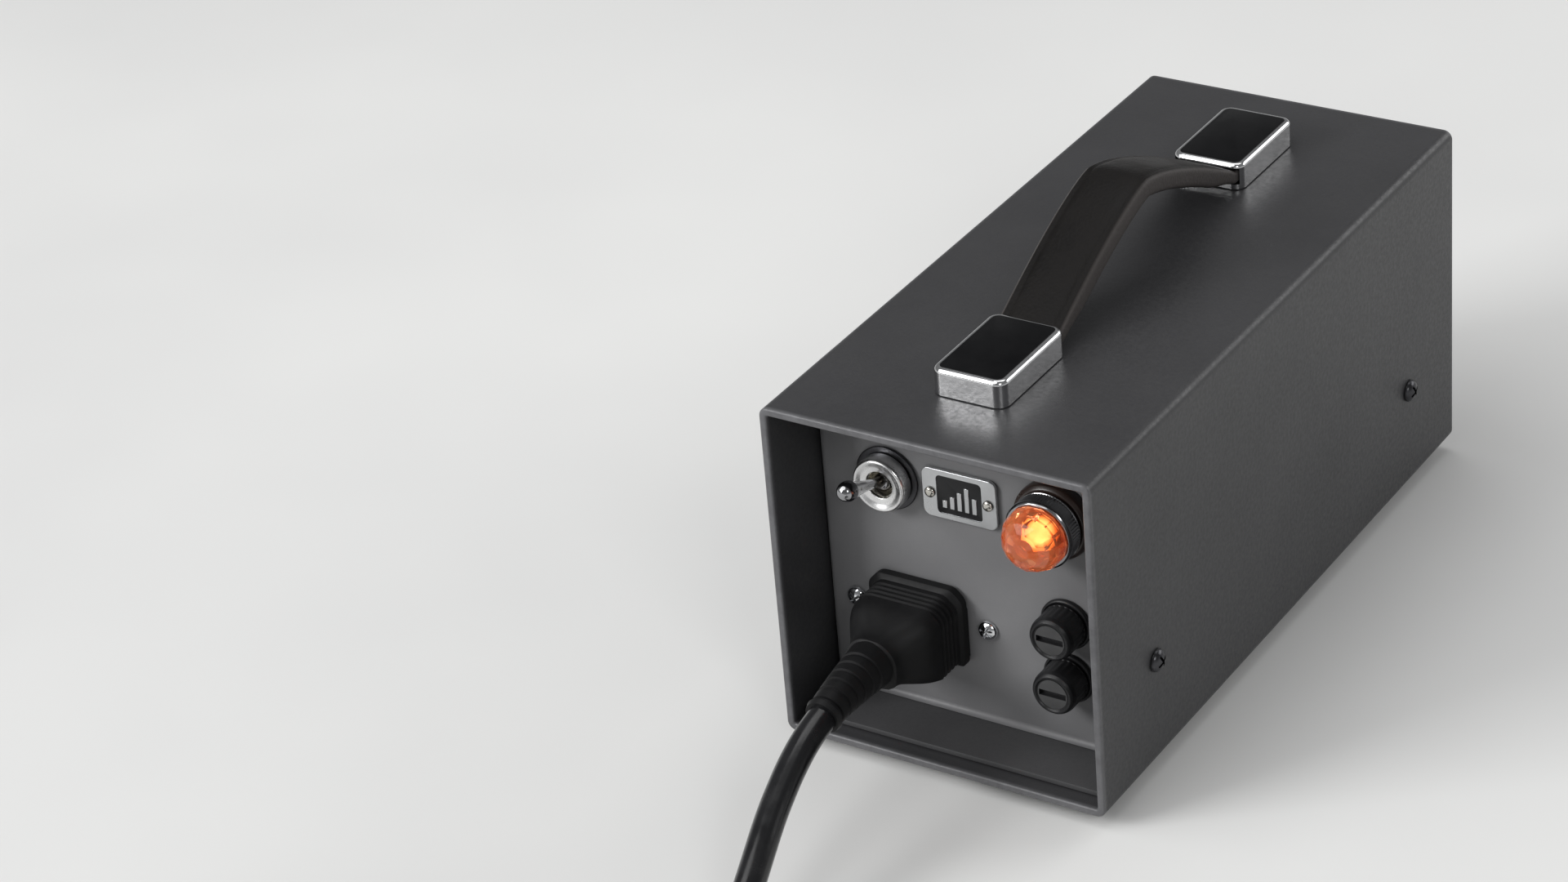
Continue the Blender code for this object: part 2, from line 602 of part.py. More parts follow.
def mains_connector():
    """The lead's connector in the inlet, and the tapered strain relief behind it."""
    place = on_front(INLET_AT)
    nose = inlet_outline(24 * MM, 16.2 * MM, 4 * MM)
    collar = inlet_outline(28.4 * MM, 23 * MM, 3.2 * MM)
    grip = inlet_outline(26.4 * MM, 20.6 * MM, 3.6 * MM)
    waist = inlet_outline(23.0 * MM, 18.4 * MM, 4 * MM)
    tail = inlet_outline(15 * MM, 14 * MM, 3.6 * MM)
    sections = [(nose, -16.4 * MM, 0), (nose, 0.6 * MM, 0), (collar, 0.6 * MM, 0), (collar, 3.6 * MM, 0)]
    sections += [(grip, 4.4 * MM, 0), (grip, 12 * MM, 0), (waist, 18 * MM, 0), (tail, 27 * MM, -0.4 * MM)]
    body = loft("lead_connector", sections, BLACK_PLASTIC, place)
    for x, y in PIN_PLACES.values():
        cut(body, slot((2.6 * MM, 4.6 * MM, 16 * MM), place @ at(x, y, -10.2 * MM)))
    points = smooth_route(BOOT_ROUTE, 2.4 * MM)
    shares = [1 - 0.30 * k / (len(points) - 1) for k in range(len(points))]
    tube("lead_boot", points, 6.8 * MM, BLACK_PLASTIC, shares)


def mains_lead():
    """The free cord: the run to the coil, the coil, the tail and the plug."""
    tube("mains_cord", smooth_route(CORD_ROUTE, 10 * MM), CORD_RADIUS, BLACK_PLASTIC)
    low, high = 0, COIL_HEIGHT / MM
    inner, outer = COIL_INSIDE / MM, COIL_OUTSIDE / MM
    soft = 3.4
    section = [(inner + soft, high), (outer - soft, high), (outer, high - soft), (outer, low + soft)]
    section += [(outer - soft, low), (inner + soft, low), (inner, low + soft), (inner, high - soft)]
    turned("mains_cord_coil", section, BLACK_PLASTIC, at(*COIL_AT, 0), 32, ring=True)
    tube("mains_cord_tail", smooth_route(TAIL_ROUTE, 10 * MM), CORD_RADIUS, BLACK_PLASTIC)
    place = at(*PLUG_AT, PLUG_RADIUS) @ TO_RIGHT
    plug = [(0, 54), (17.0, 54), (18.5, 52.5), (18.5, 42), (16.5, 38.5), (16.0, 30), (13.0, 24), (7.0, 20)]
    plug += [(5.2, 0.5), (0, 0.5)]
    body = turned("mains_plug", plug, BLACK_PLASTIC, place, FINE)
    for name, side in (("left", 1), ("right", -1)):
        pin_place = place @ at(0, side * 9.5 * MM, 0)
        cut(body, drill(2.7, 46, 60, pin_place, 16))
        profile = [(0, 73), (1.6, 72.6), (2.4, 71), (2.4, 46.4), (0, 46.4)]
        turned(f"plug_pin_{name}", profile, NICKEL, pin_place, 16)


def connector_shell(name, place, profile, look):
    """A panel connector: a square flange in front of the panel and a barrel through it."""
    outline = rounded_outline(26 * MM, 31 * MM, 3 * MM)
    plate = loft(name, [(outline, 0.3 * MM, 0), (outline, 2.3 * MM, 0)], look, place)
    join(plate, turned("barrel", profile, look, place, FINE))
    return plate


def round_ring(way, angle):
    """The place of one contact on its connector's circle of contacts."""
    turn, radius = math.radians(angle), CONTACT_RING[way] * MM
    return at(radius * math.cos(turn), radius * math.sin(turn), 0)


def rear_connectors():
    """The microphone input with its latch, and the line output with its pins."""
    barrel = [(0, 3.0), (11.5, 3.0), (11.9, 2.6), (11.9, -20), (0, -20)]
    inlet = connector_shell("input_connector", on_rear(INPUT_AT), barrel, NICKEL)
    cut(inlet, drill(SOCKET, -16, 5, on_rear(INPUT_AT), FINE))
    latch_at = on_rear(LATCH_AT)
    cut(inlet, slot((6.8 * MM, 3.4 * MM, 12 * MM), latch_at @ at(0, 0, 0.5 * MM)))
    size = (6.0 * MM, 2.6 * MM, 6.4 * MM)
    box("input_latch", size, BLACK_PLASTIC, latch_at @ at(0, 0, 1.6 * MM), 0.3 * MM, 1)
    disc = [(0, 2.4), (9.2, 2.4), (9.2, -15.6), (0, -15.6)]
    core = turned("input_insert", disc, BLACK_PLASTIC, on_rear(INPUT_AT), FINE)
    for k in range(5):
        spot = on_rear(INPUT_AT) @ round_ring("input", 270 + 72 * k)
        cut(core, drill(1.1, -9, 4, spot, 10))
    outlet = connector_shell("output_connector", on_rear(OUTPUT_AT), barrel, NICKEL)
    cut(outlet, drill(SOCKET, -14, 5, on_rear(OUTPUT_AT), FINE))
    disc = [(0, -10.5), (9.2, -10.5), (9.2, -13.6), (0, -13.6)]
    insert = turned("output_insert", disc, BLACK_PLASTIC, on_rear(OUTPUT_AT), FINE)
    pin = [(0, 0.9), (0.8, 0.7), (1.2, 0.1), (1.2, -12), (0, -12)]
    for k in range(3):
        spot = on_rear(OUTPUT_AT) @ round_ring("output", 90 + 120 * k)
        join(insert, turned("contact", pin, NICKEL, spot, 12))


def level_knob():
    """The level control behind the rear panel and the knob on its shaft."""
    place = on_rear(LEVEL_AT)
    control = [(0, 5.0), (4.3, 5.0), (4.6, 4.7), (4.6, -1.9), (12, -1.9), (12, -12), (0, -12)]
    body = turned("level_control", control, NICKEL, place, FINE)
    cut(body, drill(3.5, -8, 7, place, FINE))
    knob = [(0, 18.5), (8.4, 18.5), (9.2, 17.7), (9.8, 7.4), (10.4, 6.9), (10.4, 5.5)]
    knob += [(3.1, 5.5), (3.1, -7), (0, -7)]
    pointer = slot((1.4 * MM, 7 * MM, 1.6 * MM), place @ at(0, -6 * MM, 18.5 * MM))
    cut(turned("level_knob", knob, BLACK_PLASTIC, place, FINE), pointer)


def electronics():
    """The mains transformer on the tray, and the board with its smoothing capacitor."""
    z = TRAY_TOP + GAP + 24 * MM
    core_at = at(0, -12 * MM, z)
    core = box("transformer_core", (57 * MM, 24 * MM, 48 * MM), LAMINATION, core_at)
    for side in (-1, 1):
        cut(core, slot((9.5 * MM, 30 * MM, 28.5 * MM), core_at @ at(side * 14.25 * MM, 0, 0)))
    winding = box("transformer_winding", (37.4 * MM, 42 * MM, 27.9 * MM), TAPE, core_at, 2 * MM)
    cut(winding, slot((19.6 * MM, 24.6 * MM, 40 * MM), core_at))
    board_z = TRAY_TOP + TRAY_SIDE + GAP
    box("circuit_board", (88 * MM, 50 * MM, 1.6 * MM), BOARD, at(0, 42 * MM, board_z + 0.8 * MM))
    can = [(0, 36), (9.4, 36), (10, 35.2), (10, 4), (9.4, 3.4), (10, 2.8), (10, 0), (0, 0)]
    turned("smoothing_capacitor", can, SLEEVE_BLUE, at(-22 * MM, 34 * MM, board_z + 1.9 * MM), FINE)


clear_scene()
PARTS = collection("microphone_preamp")
CUTTERS = collection("cutters")
sleeve()
tray()
panels()
fasteners()
handle()
power_switch()
badge()
pilot_lamp()
fuses()
mains_inlet()
mains_connector()
mains_lead()
rear_connectors()
level_knob()
electronics()
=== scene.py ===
"""The looks of a mains-powered microphone preamp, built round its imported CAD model.

Every place comes from the frame: +X is to the right seen from the front, +Y runs to the back, +Z is up.
Profiles and outlines are in millimetres in a piece's own frame, whose +Z points away from the panel
that the piece stands on; everything else is in metres.
"""

import math

import bmesh
import bpy
from mathutils import Matrix, Vector


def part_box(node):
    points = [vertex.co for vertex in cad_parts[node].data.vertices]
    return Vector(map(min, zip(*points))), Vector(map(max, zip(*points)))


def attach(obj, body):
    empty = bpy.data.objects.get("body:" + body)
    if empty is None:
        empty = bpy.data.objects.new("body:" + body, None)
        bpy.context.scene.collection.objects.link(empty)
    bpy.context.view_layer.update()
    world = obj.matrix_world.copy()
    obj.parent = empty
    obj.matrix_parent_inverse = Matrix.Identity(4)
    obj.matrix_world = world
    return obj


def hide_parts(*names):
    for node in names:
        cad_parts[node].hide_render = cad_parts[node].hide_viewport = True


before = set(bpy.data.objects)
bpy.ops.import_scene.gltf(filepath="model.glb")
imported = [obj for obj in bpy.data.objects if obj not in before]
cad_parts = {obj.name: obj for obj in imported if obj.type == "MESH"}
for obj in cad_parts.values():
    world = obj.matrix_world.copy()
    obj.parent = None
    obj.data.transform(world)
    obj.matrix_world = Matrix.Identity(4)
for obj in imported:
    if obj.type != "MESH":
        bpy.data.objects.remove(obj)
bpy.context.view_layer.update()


def spin(degrees, axis="Z"):
    return Matrix.Rotation(math.radians(degrees), 4, axis)


MM = 0.001
ROUND = 64  # steps round a turned piece
GAP = 0.3  # millimetres between touching pieces

UPRIGHT = Matrix.Identity(4)
TO_FRONT = spin(90, "X")
TO_BACK = spin(180) @ TO_FRONT
TO_RIGHT = spin(90, "Y")
TO_LEFT = spin(-90, "Y")

SLEEVE_LOW, SLEEVE_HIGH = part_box("case_sleeve")
FRONT_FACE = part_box("front_panel")[0].y
REAR_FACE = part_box("rear_panel")[1].y

# Sheet and strap, in millimetres
WALL = 2.2  # of the case sleeve
SHEET = 1.6  # of the panels and the tray
STRAP_WIDTH = 19
STRAP_THICK = 4  # of the straight ends
STRAP_SWELL = 2  # how much thicker the bow is
STRAP_GROWTH = 14  # how far into the bow it goes on getting thicker
STRAP_STRAIGHT = 6  # height of the straight ends' upper face above the case
STRAP_BOW = 1.35  # how square-shouldered the bow is

CAMERA_AT = (0.4911, -0.8746, 0.6348)
CAMERA_AZIMUTH = 34.70
CAMERA_ELEVATION = 30.03
CAMERA_ROLL = 5.20
CAMERA_LENS = 97.08

# Mains lead: the route of the free cord before and after its coil, in metres
CORD_DIAMETER = 0.008
BOOT_ROUTE = [
    (-0.0170, -0.1113, 0.0359),
    (-0.0170, -0.1175, 0.0358),
    (-0.0170, -0.1240, 0.0355),
    (-0.0170, -0.1295, 0.0350),
    (-0.0170, -0.1339, 0.0342),
]
CORD_ROUTE = [
    (-0.0170, -0.1345, 0.0341),
    (-0.0169, -0.1422, 0.0324),
    (-0.0163, -0.1505, 0.0298),
    (-0.0152, -0.1588, 0.0266),
    (-0.0137, -0.1670, 0.0233),
    (-0.0119, -0.1750, 0.0197),
    (-0.0104, -0.1822, 0.0160),
    (-0.0093, -0.1892, 0.0121),
    (-0.0086, -0.1955, 0.0087),
    (-0.0082, -0.2020, 0.0062),
    (-0.0081, -0.2090, 0.0047),
    (-0.0081, -0.2180, 0.0041),
]
TAIL_ROUTE = [
    (-0.0081, -0.2460, 0.0113),
    (-0.0081, -0.2612, 0.0121),
    (-0.0080, -0.2695, 0.0130),
    (-0.0055, -0.2812, 0.0148),
    (0.0015, -0.2916, 0.0166),
    (0.0119, -0.2986, 0.0180),
    (0.0178, -0.3004, 0.0184),
    (0.0236, -0.3010, 0.0185),
]
TURN_PITCH = 0.0081  # between neighbouring turns of the coil
COIL_STEP = 15  # degrees between the coil's points
# Each stretch of the coil: its lane, its layer, and the angles where the cord settles there and leaves again
COIL_LANES = [
    ("outer", 0, 180, 440),
    ("inner", 0, 540, 720),
    ("inner", 1, 800, 1080),
    ("inner", 2, 1160, 1340),
    ("outer", 2, 1440, 1640),
    ("outer", 1, 1700, 1980),
]


# ------------------------ places and pieces


def at(x, y, z):
    return Matrix.Translation((x, y, z))


def circle_point(radius, turn):
    return radius * math.cos(turn), radius * math.sin(turn)


def polar(radius, degrees):
    """A place on a circle round the origin. The radius is in millimetres."""
    return at(*circle_point(radius * MM, math.radians(degrees)), 0)


def quarter(steps):
    """Angles from nothing to a right angle."""
    return [math.pi / 2 * k / steps for k in range(steps + 1)]


def middle(node):
    low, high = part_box(node)
    return (low + high) / 2


def spans(node):
    """A CAD node's width, length and height in millimetres."""
    return [(high - low) / MM for low, high in zip(*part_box(node))]


def on_front(node):
    """A frame on the front panel's face, in line with the middle of a CAD node."""
    centre = middle(node)
    return at(centre.x, FRONT_FACE, centre.z) @ TO_FRONT


def on_rear(node):
    centre = middle(node)
    return at(centre.x, REAR_FACE, centre.z) @ TO_BACK


def add_object(name, data, place=UPRIGHT):
    obj = bpy.data.objects.new(name, data)
    bpy.context.scene.collection.objects.link(obj)
    obj.matrix_world = place
    return obj


def show(name, data, look, place, *nodes, body="chassis", looks=()):
    """Puts a mesh or curve into the scene as a piece that rides on a body and stands for CAD nodes."""
    obj = add_object(name, data, place)
    data.name = name
    for material in (look, *looks):
        data.materials.append(material)
    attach(obj, body)
    if nodes:
        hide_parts(*nodes)
    return obj


def weigh(obj):
    """Keeps large flat faces flat beside small rounded edges."""
    modifier = obj.modifiers.new("flat faces", "WEIGHTED_NORMAL")
    modifier.keep_sharp = True


# ------------------------ shapes


def to_mesh(shape, angle=40):
    bmesh.ops.recalc_face_normals(shape, faces=shape.faces)
    mesh = bpy.data.meshes.new("shape")
    shape.to_mesh(mesh)
    shape.free()
    mesh.shade_smooth()
    mesh.set_sharp_from_angle(angle=math.radians(angle))
    return mesh


def raised(outline, z, shift=0.0):
    """An outline in millimetres as points in metres at one height."""
    return [(x * MM, (y + shift) * MM, z * MM) for x, y in outline]


def skin(shape, rings, closed=False):
    """Faces between neighbouring rings of vertices, triangles where a ring is drawn together to a point."""
    for below, above in zip(rings, rings[1:] + rings[:1] if closed else rings[1:]):
        for k in range(len(below)):
            following = (k + 1) % len(below)
            corners = dict.fromkeys((below[k], below[following], above[following], above[k]))
            if len(corners) > 2:
                shape.faces.new(list(corners))


def loft(sections, closed=False, angle=40):
    """A skin through sections with equally many points, in metres; `closed` joins the last to the first."""
    shape = bmesh.new()
    rings = [[shape.verts.new(point) for point in section] for section in sections]
    if not closed:
        shape.faces.new(list(reversed(rings[0])))
        shape.faces.new(rings[-1])
    skin(shape, rings, closed)
    return to_mesh(shape, angle)


def eased(points, radius, steps=3, loop=False):
    """The line again with its corners rounded by small arcs."""
    line = [Vector(p) for p in points]
    made = [] if loop else [line[0]]
    corners = range(len(line)) if loop else range(1, len(line) - 1)
    for k in corners:
        before, corner, after = line[k - 1], line[k], line[(k + 1) % len(line)]
        into, out = before - corner, after - corner
        reach = min(radius, into.length * 0.48, out.length * 0.48)
        start = corner + into.normalized() * reach
        end = corner + out.normalized() * reach
        for step in range(steps + 1):
            t = step / steps
            made.append(start * (1 - t) ** 2 + corner * 2 * t * (1 - t) + end * t * t)
    if not loop:
        made.append(line[-1])
    return made


def lathe(profile, ease=0.25, steps=ROUND, ring=False, ripple=None, angle=35):
    """A turned mesh of (radius, height) points in millimetres. `ripple` changes a radius with the turn."""
    points = eased(profile, ease, loop=ring) if ease else [Vector(p) for p in profile]
    shape = bmesh.new()
    rings = []
    for radius, height in points:
        if radius < 0.001:
            rings.append([shape.verts.new((0, 0, height * MM))] * steps)
            continue
        row = []
        for k in range(steps):
            reach = (ripple(radius, height, k) if ripple else radius) * MM
            row.append(shape.verts.new((*circle_point(reach, 2 * math.pi * k / steps), height * MM)))
        rings.append(row)
    skin(shape, rings, ring)
    return to_mesh(shape, angle)


def fluted(depth, period, low, high, least=0.0, start=0.0):
    """A ripple for lathe: flutes `period` steps apart, between two heights and beyond the `least` radius."""

    def ripple(radius, height, k):
        if not (low < height < high and radius > least):
            return radius
        return radius - depth * (0.5 - 0.5 * math.cos(2 * math.pi * (k / period + start)))

    return ripple


def rounded_outline(width, height, radius, steps=6):
    """Points round a rectangle with rounded corners, counter-clockwise, in millimetres."""
    points = []
    for side, up, start in ((1, 1, 0), (-1, 1, 90), (-1, -1, 180), (1, -1, 270)):
        for k in range(steps + 1):
            x, y = circle_point(radius, math.radians(start + 90 * k / steps))
            points.append((side * (width / 2 - radius) + x, up * (height / 2 - radius) + y))
    return points


def inlet_outline(width, height, chamfer, radius=1.0):
    """A mains connector's outline: a rectangle with its upper corners cut off and every corner rounded."""
    x, y = width / 2, height / 2
    corners = [(x, y - chamfer), (x - chamfer, y), (chamfer - x, y), (-x, y - chamfer), (-x, -y), (x, -y)]
    return [(p.x, p.y) for p in eased(corners, radius, 4, loop=True)]


def slab(outline, low, high, ease=0.3, steps=3):
    """An outline given thickness between two heights, with its long edges rounded."""
    centre = sum((Vector(p) for p in outline), Vector((0, 0))) / len(outline)
    reach = [max(abs(p[k] - centre[k]) for p in outline) for k in (0, 1)]
    heights = [(ease * (1 - math.sin(t)), low + ease * (1 - math.cos(t))) for t in quarter(steps)]
    heights += [(inset, low + high - z) for inset, z in reversed(heights)]
    sections = []
    for inset, z in heights:
        wide, tall = ((r - inset) / r for r in reach)
        ring = [(centre.x + (x - centre.x) * wide, centre.y + (y - centre.y) * tall) for x, y in outline]
        sections.append(raised(ring, z))
    return loft(sections)


def prism(outline, low, high):
    """A sharp-edged tool for combine."""
    return slab(outline, low, high, 0.0, 1)


def block(size, centre=(0, 0, 0), soft=0.0, segments=2):
    """A box in millimetres with softened edges."""
    shape = bmesh.new()
    bmesh.ops.create_cube(shape, size=1)
    bmesh.ops.scale(shape, vec=[side * MM for side in size], verts=shape.verts)
    bmesh.ops.translate(shape, vec=[c * MM for c in centre], verts=shape.verts)
    if soft:
        bmesh.ops.bevel(
            shape, geom=shape.edges[:], offset=soft * MM, segments=segments, profile=0.5, affect="EDGES"
        )
    return to_mesh(shape)


def combine(mesh, tools, operation="DIFFERENCE", angle=40):
    """The mesh after a Boolean with each tool, a mesh that may come with its own place."""
    body = add_object("combined", mesh)
    helpers = []
    for tool in tools:
        helper = add_object("tool", *(tool if isinstance(tool, tuple) else (tool,)))
        helpers.append(helper)
        modifier = body.modifiers.new("combine", "BOOLEAN")
        modifier.operation = operation
        modifier.solver = "EXACT"
        modifier.object = helper
    bpy.context.view_layer.update()
    evaluated = body.evaluated_get(bpy.context.evaluated_depsgraph_get())
    made = bpy.data.meshes.new_from_object(evaluated)
    for obj in [body, *helpers]:
        bpy.data.objects.remove(obj)
    made.materials.clear()
    made.shade_smooth()
    made.set_sharp_from_angle(angle=math.radians(angle))
    return made


def merge(*parts):
    """Several meshes as one mesh of separate closed shells. Each part is (mesh, place, slot) or less."""
    shape = bmesh.new()
    for part in parts:
        mesh, place, index = (*part, *(UPRIGHT, 0)[len(part) - 1 :])
        before = len(shape.faces)
        copy = mesh.copy()
        copy.transform(place)
        shape.from_mesh(copy)
        shape.faces.ensure_lookup_table()
        for face in shape.faces[before:]:
            face.material_index = index
        bpy.data.meshes.remove(copy)
    return to_mesh(shape)


def smooth_line(knots, steps):
    """Points on a smooth curve through the knots."""
    knots = [Vector(p) for p in knots]
    padded = [2 * knots[0] - knots[1], *knots, 2 * knots[-1] - knots[-2]]
    line = []
    for k in range(1, len(padded) - 2):
        before, start, end, after = padded[k - 1 : k + 3]
        for step in range(steps):
            t = step / steps
            line.append(
                start
                + (end - before) * (t / 2)
                + (2 * before - 5 * start + 4 * end - after) * (t * t / 2)
                + (3 * start - before - 3 * end + after) * (t**3 / 2)
            )
    return line + [knots[-1]]


def heading(line, k):
    """The direction of a line at one of its points."""
    return (line[min(k + 1, len(line) - 1)] - line[max(k - 1, 0)]).normalized()


def sweep(line, radius_at, steps=40):
    """A round solid along a line in metres. `radius_at` gives the radius at a share of its length."""
    runs = [0.0]
    for a, b in zip(line, line[1:]):
        runs.append(runs[-1] + (b - a).length)
    side = Vector((1, 0, 0))
    sections = []
    for k, point in enumerate(line):
        ahead = heading(line, k)
        side = (side - ahead * side.dot(ahead)).normalized()
        up = ahead.cross(side)
        radius = radius_at(runs[k] / runs[-1])
        turns = [2 * math.pi * step / steps for step in range(steps)]
        sections.append([point + (side * math.cos(t) + up * math.sin(t)) * radius for t in turns])
    return loft(sections)


# ------------------------ materials


def set_inputs(node, **values):
    """Sets a shader node's inputs by name, with _ for a space."""
    for name, value in values.items():
        node.inputs[name.replace("_", " ")].default_value = value


def add_node(look, kind, **values):
    node = look.node_tree.nodes.new("ShaderNode" + kind)
    set_inputs(node, **values)
    return node


def wire(look, source, socket):
    look.node_tree.links.new(source, socket)


def start_look(name, slot, colour, roughness, metallic=0.0, **sockets):
    """A Principled material."""
    look = bpy.data.materials.new(name)
    look.use_nodes = True
    look["slot"] = slot
    look.diffuse_color = (*colour, 1)
    shader = look.node_tree.nodes["Principled BSDF"]
    set_inputs(shader, Base_Color=(*colour, 1), Roughness=roughness, Metallic=metallic, **sockets)
    return look


def own_coordinates(look):
    return add_node(look, "TexCoord").outputs["Object"]


def texture(look, kind, scale, stretch=(1, 1, 1), **inputs):
    """A texture laid over the piece's own coordinates. Its scale is in repeats a metre."""
    mapping = add_node(look, "Mapping", Scale=stretch)
    made = add_node(look, "Tex" + kind, **inputs)
    if "Scale" in made.inputs:
        made.inputs["Scale"].default_value = scale
    wire(look, own_coordinates(look), mapping.inputs["Vector"])
    wire(look, mapping.outputs["Vector"], made.inputs["Vector"])
    return made


def strength(source):
    """A texture's strength. A socket is passed on as it is."""
    if isinstance(source, bpy.types.NodeSocket):
        return source
    return source.outputs["Distance" if "Distance" in source.outputs else "Fac"]


def paint_with(look, source, socket="Base Color"):
    wire(look, source, look.node_tree.nodes["Principled BSDF"].inputs[socket])


def ramp(look, source, *stops):
    """Colours by a texture's strength. Each stop is (position, colour)."""
    node = add_node(look, "ValToRGB")
    elements = node.color_ramp.elements
    while len(elements) < len(stops):
        elements.new(0.5)
    for element, (position, colour) in zip(elements, stops):
        element.position = position
        element.color = (*colour, 1)
    wire(look, strength(source), node.inputs["Fac"])
    return node.outputs["Color"]


def tint(look, source, *stops, socket="Base Color"):
    paint_with(look, ramp(look, source, *stops), socket)


def mix(look, factor, first, second):
    """A colour socket turning into a plain colour."""
    node = add_node(look, "Mix")
    node.data_type = "RGBA"
    colours = {socket.name: socket for socket in node.inputs if socket.type == "RGBA"}
    wire(look, factor, node.inputs["Factor"])
    wire(look, first, colours["A"])
    colours["B"].default_value = (*second, 1)
    return next(socket for socket in node.outputs if socket.type == "RGBA")


def spread(look, source, low, high, start=0.3, end=0.7):
    """A texture's strength mapped to values between low and high."""
    node = add_node(look, "MapRange", From_Min=start, From_Max=end, To_Min=low, To_Max=high)
    wire(look, strength(source), node.inputs["Value"])
    return node.outputs["Result"]


def roughen(look, source, low, high):
    paint_with(look, spread(look, source, low, high), "Roughness")


def bump(look, source, height, amount):
    """Adds relief `height` millimetres deep over what is there."""
    node = add_node(look, "Bump", Strength=amount, Distance=height * MM)
    normal = look.node_tree.nodes["Principled BSDF"].inputs["Normal"]
    if normal.links:
        wire(look, normal.links[0].from_socket, node.inputs["Normal"])
    wire(look, strength(source), node.inputs["Height"])
    wire(look, node.outputs["Normal"], normal)


def calculate(look, operation, *sources):
    node = add_node(look, "Math")
    node.operation = operation
    for source, socket in zip(sources, node.inputs):
        wire(look, source, socket)
    return node.outputs["Value"]


def coordinate(look, axis):
    """A piece's own coordinate along an axis, without its sign, in metres."""
    split = add_node(look, "SeparateXYZ")
    wire(look, own_coordinates(look), split.inputs["Vector"])
    return calculate(look, "ABSOLUTE", split.outputs[axis])


def enamel(name, slot, dark, light, roughness, rims=None):
    """Baked enamel: a fine orange peel, faint cloudy tone, and lighter patches at the rims at both ends of
    the case, part wear and part painted highlight.
    """
    coat = {"Coat_Weight": 0.03, "Coat_Roughness": 0.3}
    look = start_look(name, slot, light, roughness, Specular_IOR_Level=0.4, **coat)
    clouds = texture(look, "Noise", 22, Detail=4.0, Roughness=0.55)
    colour = ramp(look, clouds, (0.3, dark), (0.7, light))
    roughen(look, texture(look, "Noise", 900, Detail=2.0), roughness - 0.06, roughness + 0.08)
    bump(look, texture(look, "Noise", 620, Detail=1.0), 0.06, 0.5)
    bump(look, texture(look, "Noise", 2600, Detail=3.0, Roughness=0.6), 0.03, 0.6)
    if rims:
        # Lighter rim patches: part wear, part a painted highlight where the rims catch light.
        rim_wear_and_highlight_noise = texture(look, "Noise", 260, Detail=5.0, Roughness=0.7)
        edge = spread(look, coordinate(look, "Y"), 0.0, 1.0, rims - 0.0016, rims - 0.0002)
        patches = calculate(look, "MULTIPLY", edge, spread(look, rim_wear_and_highlight_noise, 0.55, 1.0))
        colour = mix(look, patches, colour, tuple(min(1.0, c * 3.2) for c in light))
    paint_with(look, colour)
    return look


def plated(name, slot, colour, roughness, brushed=False):
    """Polished or brushed plating with faint handling smudges."""
    look = start_look(name, slot, colour, roughness, 1.0)
    smudge = texture(look, "Noise", 140, Detail=4.0, Roughness=0.65)
    tint(look, smudge, (0.35, tuple(c * 0.86 for c in colour)), (0.65, colour))
    roughen(look, smudge, roughness * 0.7, roughness * 1.5)
    if brushed:
        bump(look, texture(look, "Noise", 500, stretch=(1, 1, 14), Detail=2.0), 0.02, 0.5)
    else:
        bump(look, texture(look, "Noise", 900, Detail=1.0), 0.004, 0.3)
    return look


def moulded(name, slot, dark, light, roughness, grain=1800, depth=0.035, **sockets):
    """Moulded plastic or rubber with a spark-eroded texture and rubbed patches."""
    look = start_look(name, slot, light, roughness, **sockets)
    rubbed = texture(look, "Noise", 120, Detail=5.0, Roughness=0.6)
    tint(look, rubbed, (0.35, dark), (0.7, light))
    roughen(look, rubbed, roughness - 0.07, roughness + 0.1)
    bump(look, texture(look, "Noise", grain, Detail=2.0), depth, 0.6)
    return look


def leather():
    """Black grained leather with a painted highlight along both side edges."""
    look = start_look(
        "strap leather", "strap_leather", (0.009, 0.0075, 0.007), 0.46, Specular_IOR_Level=0.14,
        Sheen_Weight=0.006, Sheen_Roughness=0.4, Sheen_Tint=(0.62, 0.45, 0.42, 1),
    )
    tone = texture(look, "Noise", 70, Detail=5.0, Roughness=0.6)
    face = ramp(look, tone, (0.3, (0.0035, 0.0030, 0.0028)), (0.75, (0.0085, 0.0072, 0.0066)))
    # Painted highlight: the side edges are made lighter to stand for the light they catch.
    edge = spread(look, coordinate(look, "X"), 0.0, 1.0, 0.0084, 0.0091)
    paint_with(look, mix(look, edge, face, (0.062, 0.056, 0.054)))
    roughen(look, tone, 0.40, 0.56)
    bump(look, texture(look, "Voronoi", 1100, stretch=(1, 0.8, 1)), 0.10, 0.55)
    creases = texture(look, "Noise", 300, stretch=(0.5, 1.6, 1.6), Detail=6.0, Roughness=0.7)
    bump(look, creases, 0.12, 0.4)
    return look


def amber():
    """Moulded amber glass, glowing a little where the bulb's light spreads in it."""
    look = start_look(
        "amber jewel", "amber_jewel", (1.0, 0.42, 0.13), 0.09, Transmission_Weight=0.80, IOR=1.5,
        Emission_Strength=0.14,
    )
    swirl = texture(look, "Noise", 160, Detail=2.0)
    tint(look, swirl, (0.3, (0.80, 0.20, 0.08)), (0.7, (0.92, 0.44, 0.19)))
    tint(look, swirl, (0.35, (0.22, 0.030, 0.014)), (0.65, (0.55, 0.15, 0.06)), socket="Emission Color")
    bump(look, texture(look, "Noise", 500, Detail=1.0), 0.02, 0.4)
    look.cycles.emission_sampling = "NONE"
    return look


def glowing():
    """The lit bulb: hottest round its filament."""
    look = start_look("lit bulb", "bulb_glass", (1.0, 0.8, 0.5), 0.1, Emission_Strength=4.5)
    heat = texture(look, "Gradient", 1.0, stretch=(150, 150, 150))
    heat.gradient_type = "SPHERICAL"
    heat.inputs["Vector"].links[0].from_node.inputs["Location"].default_value = (-0.20, -0.42, -1.75)
    stops = (0.0, (0.10, 0.018, 0.005)), (0.3, (0.40, 0.16, 0.04)), (0.65, (1.0, 1.0, 0.55))
    tint(look, heat, *stops, socket="Emission Color")
    look.cycles.emission_sampling = "NONE"
    return look


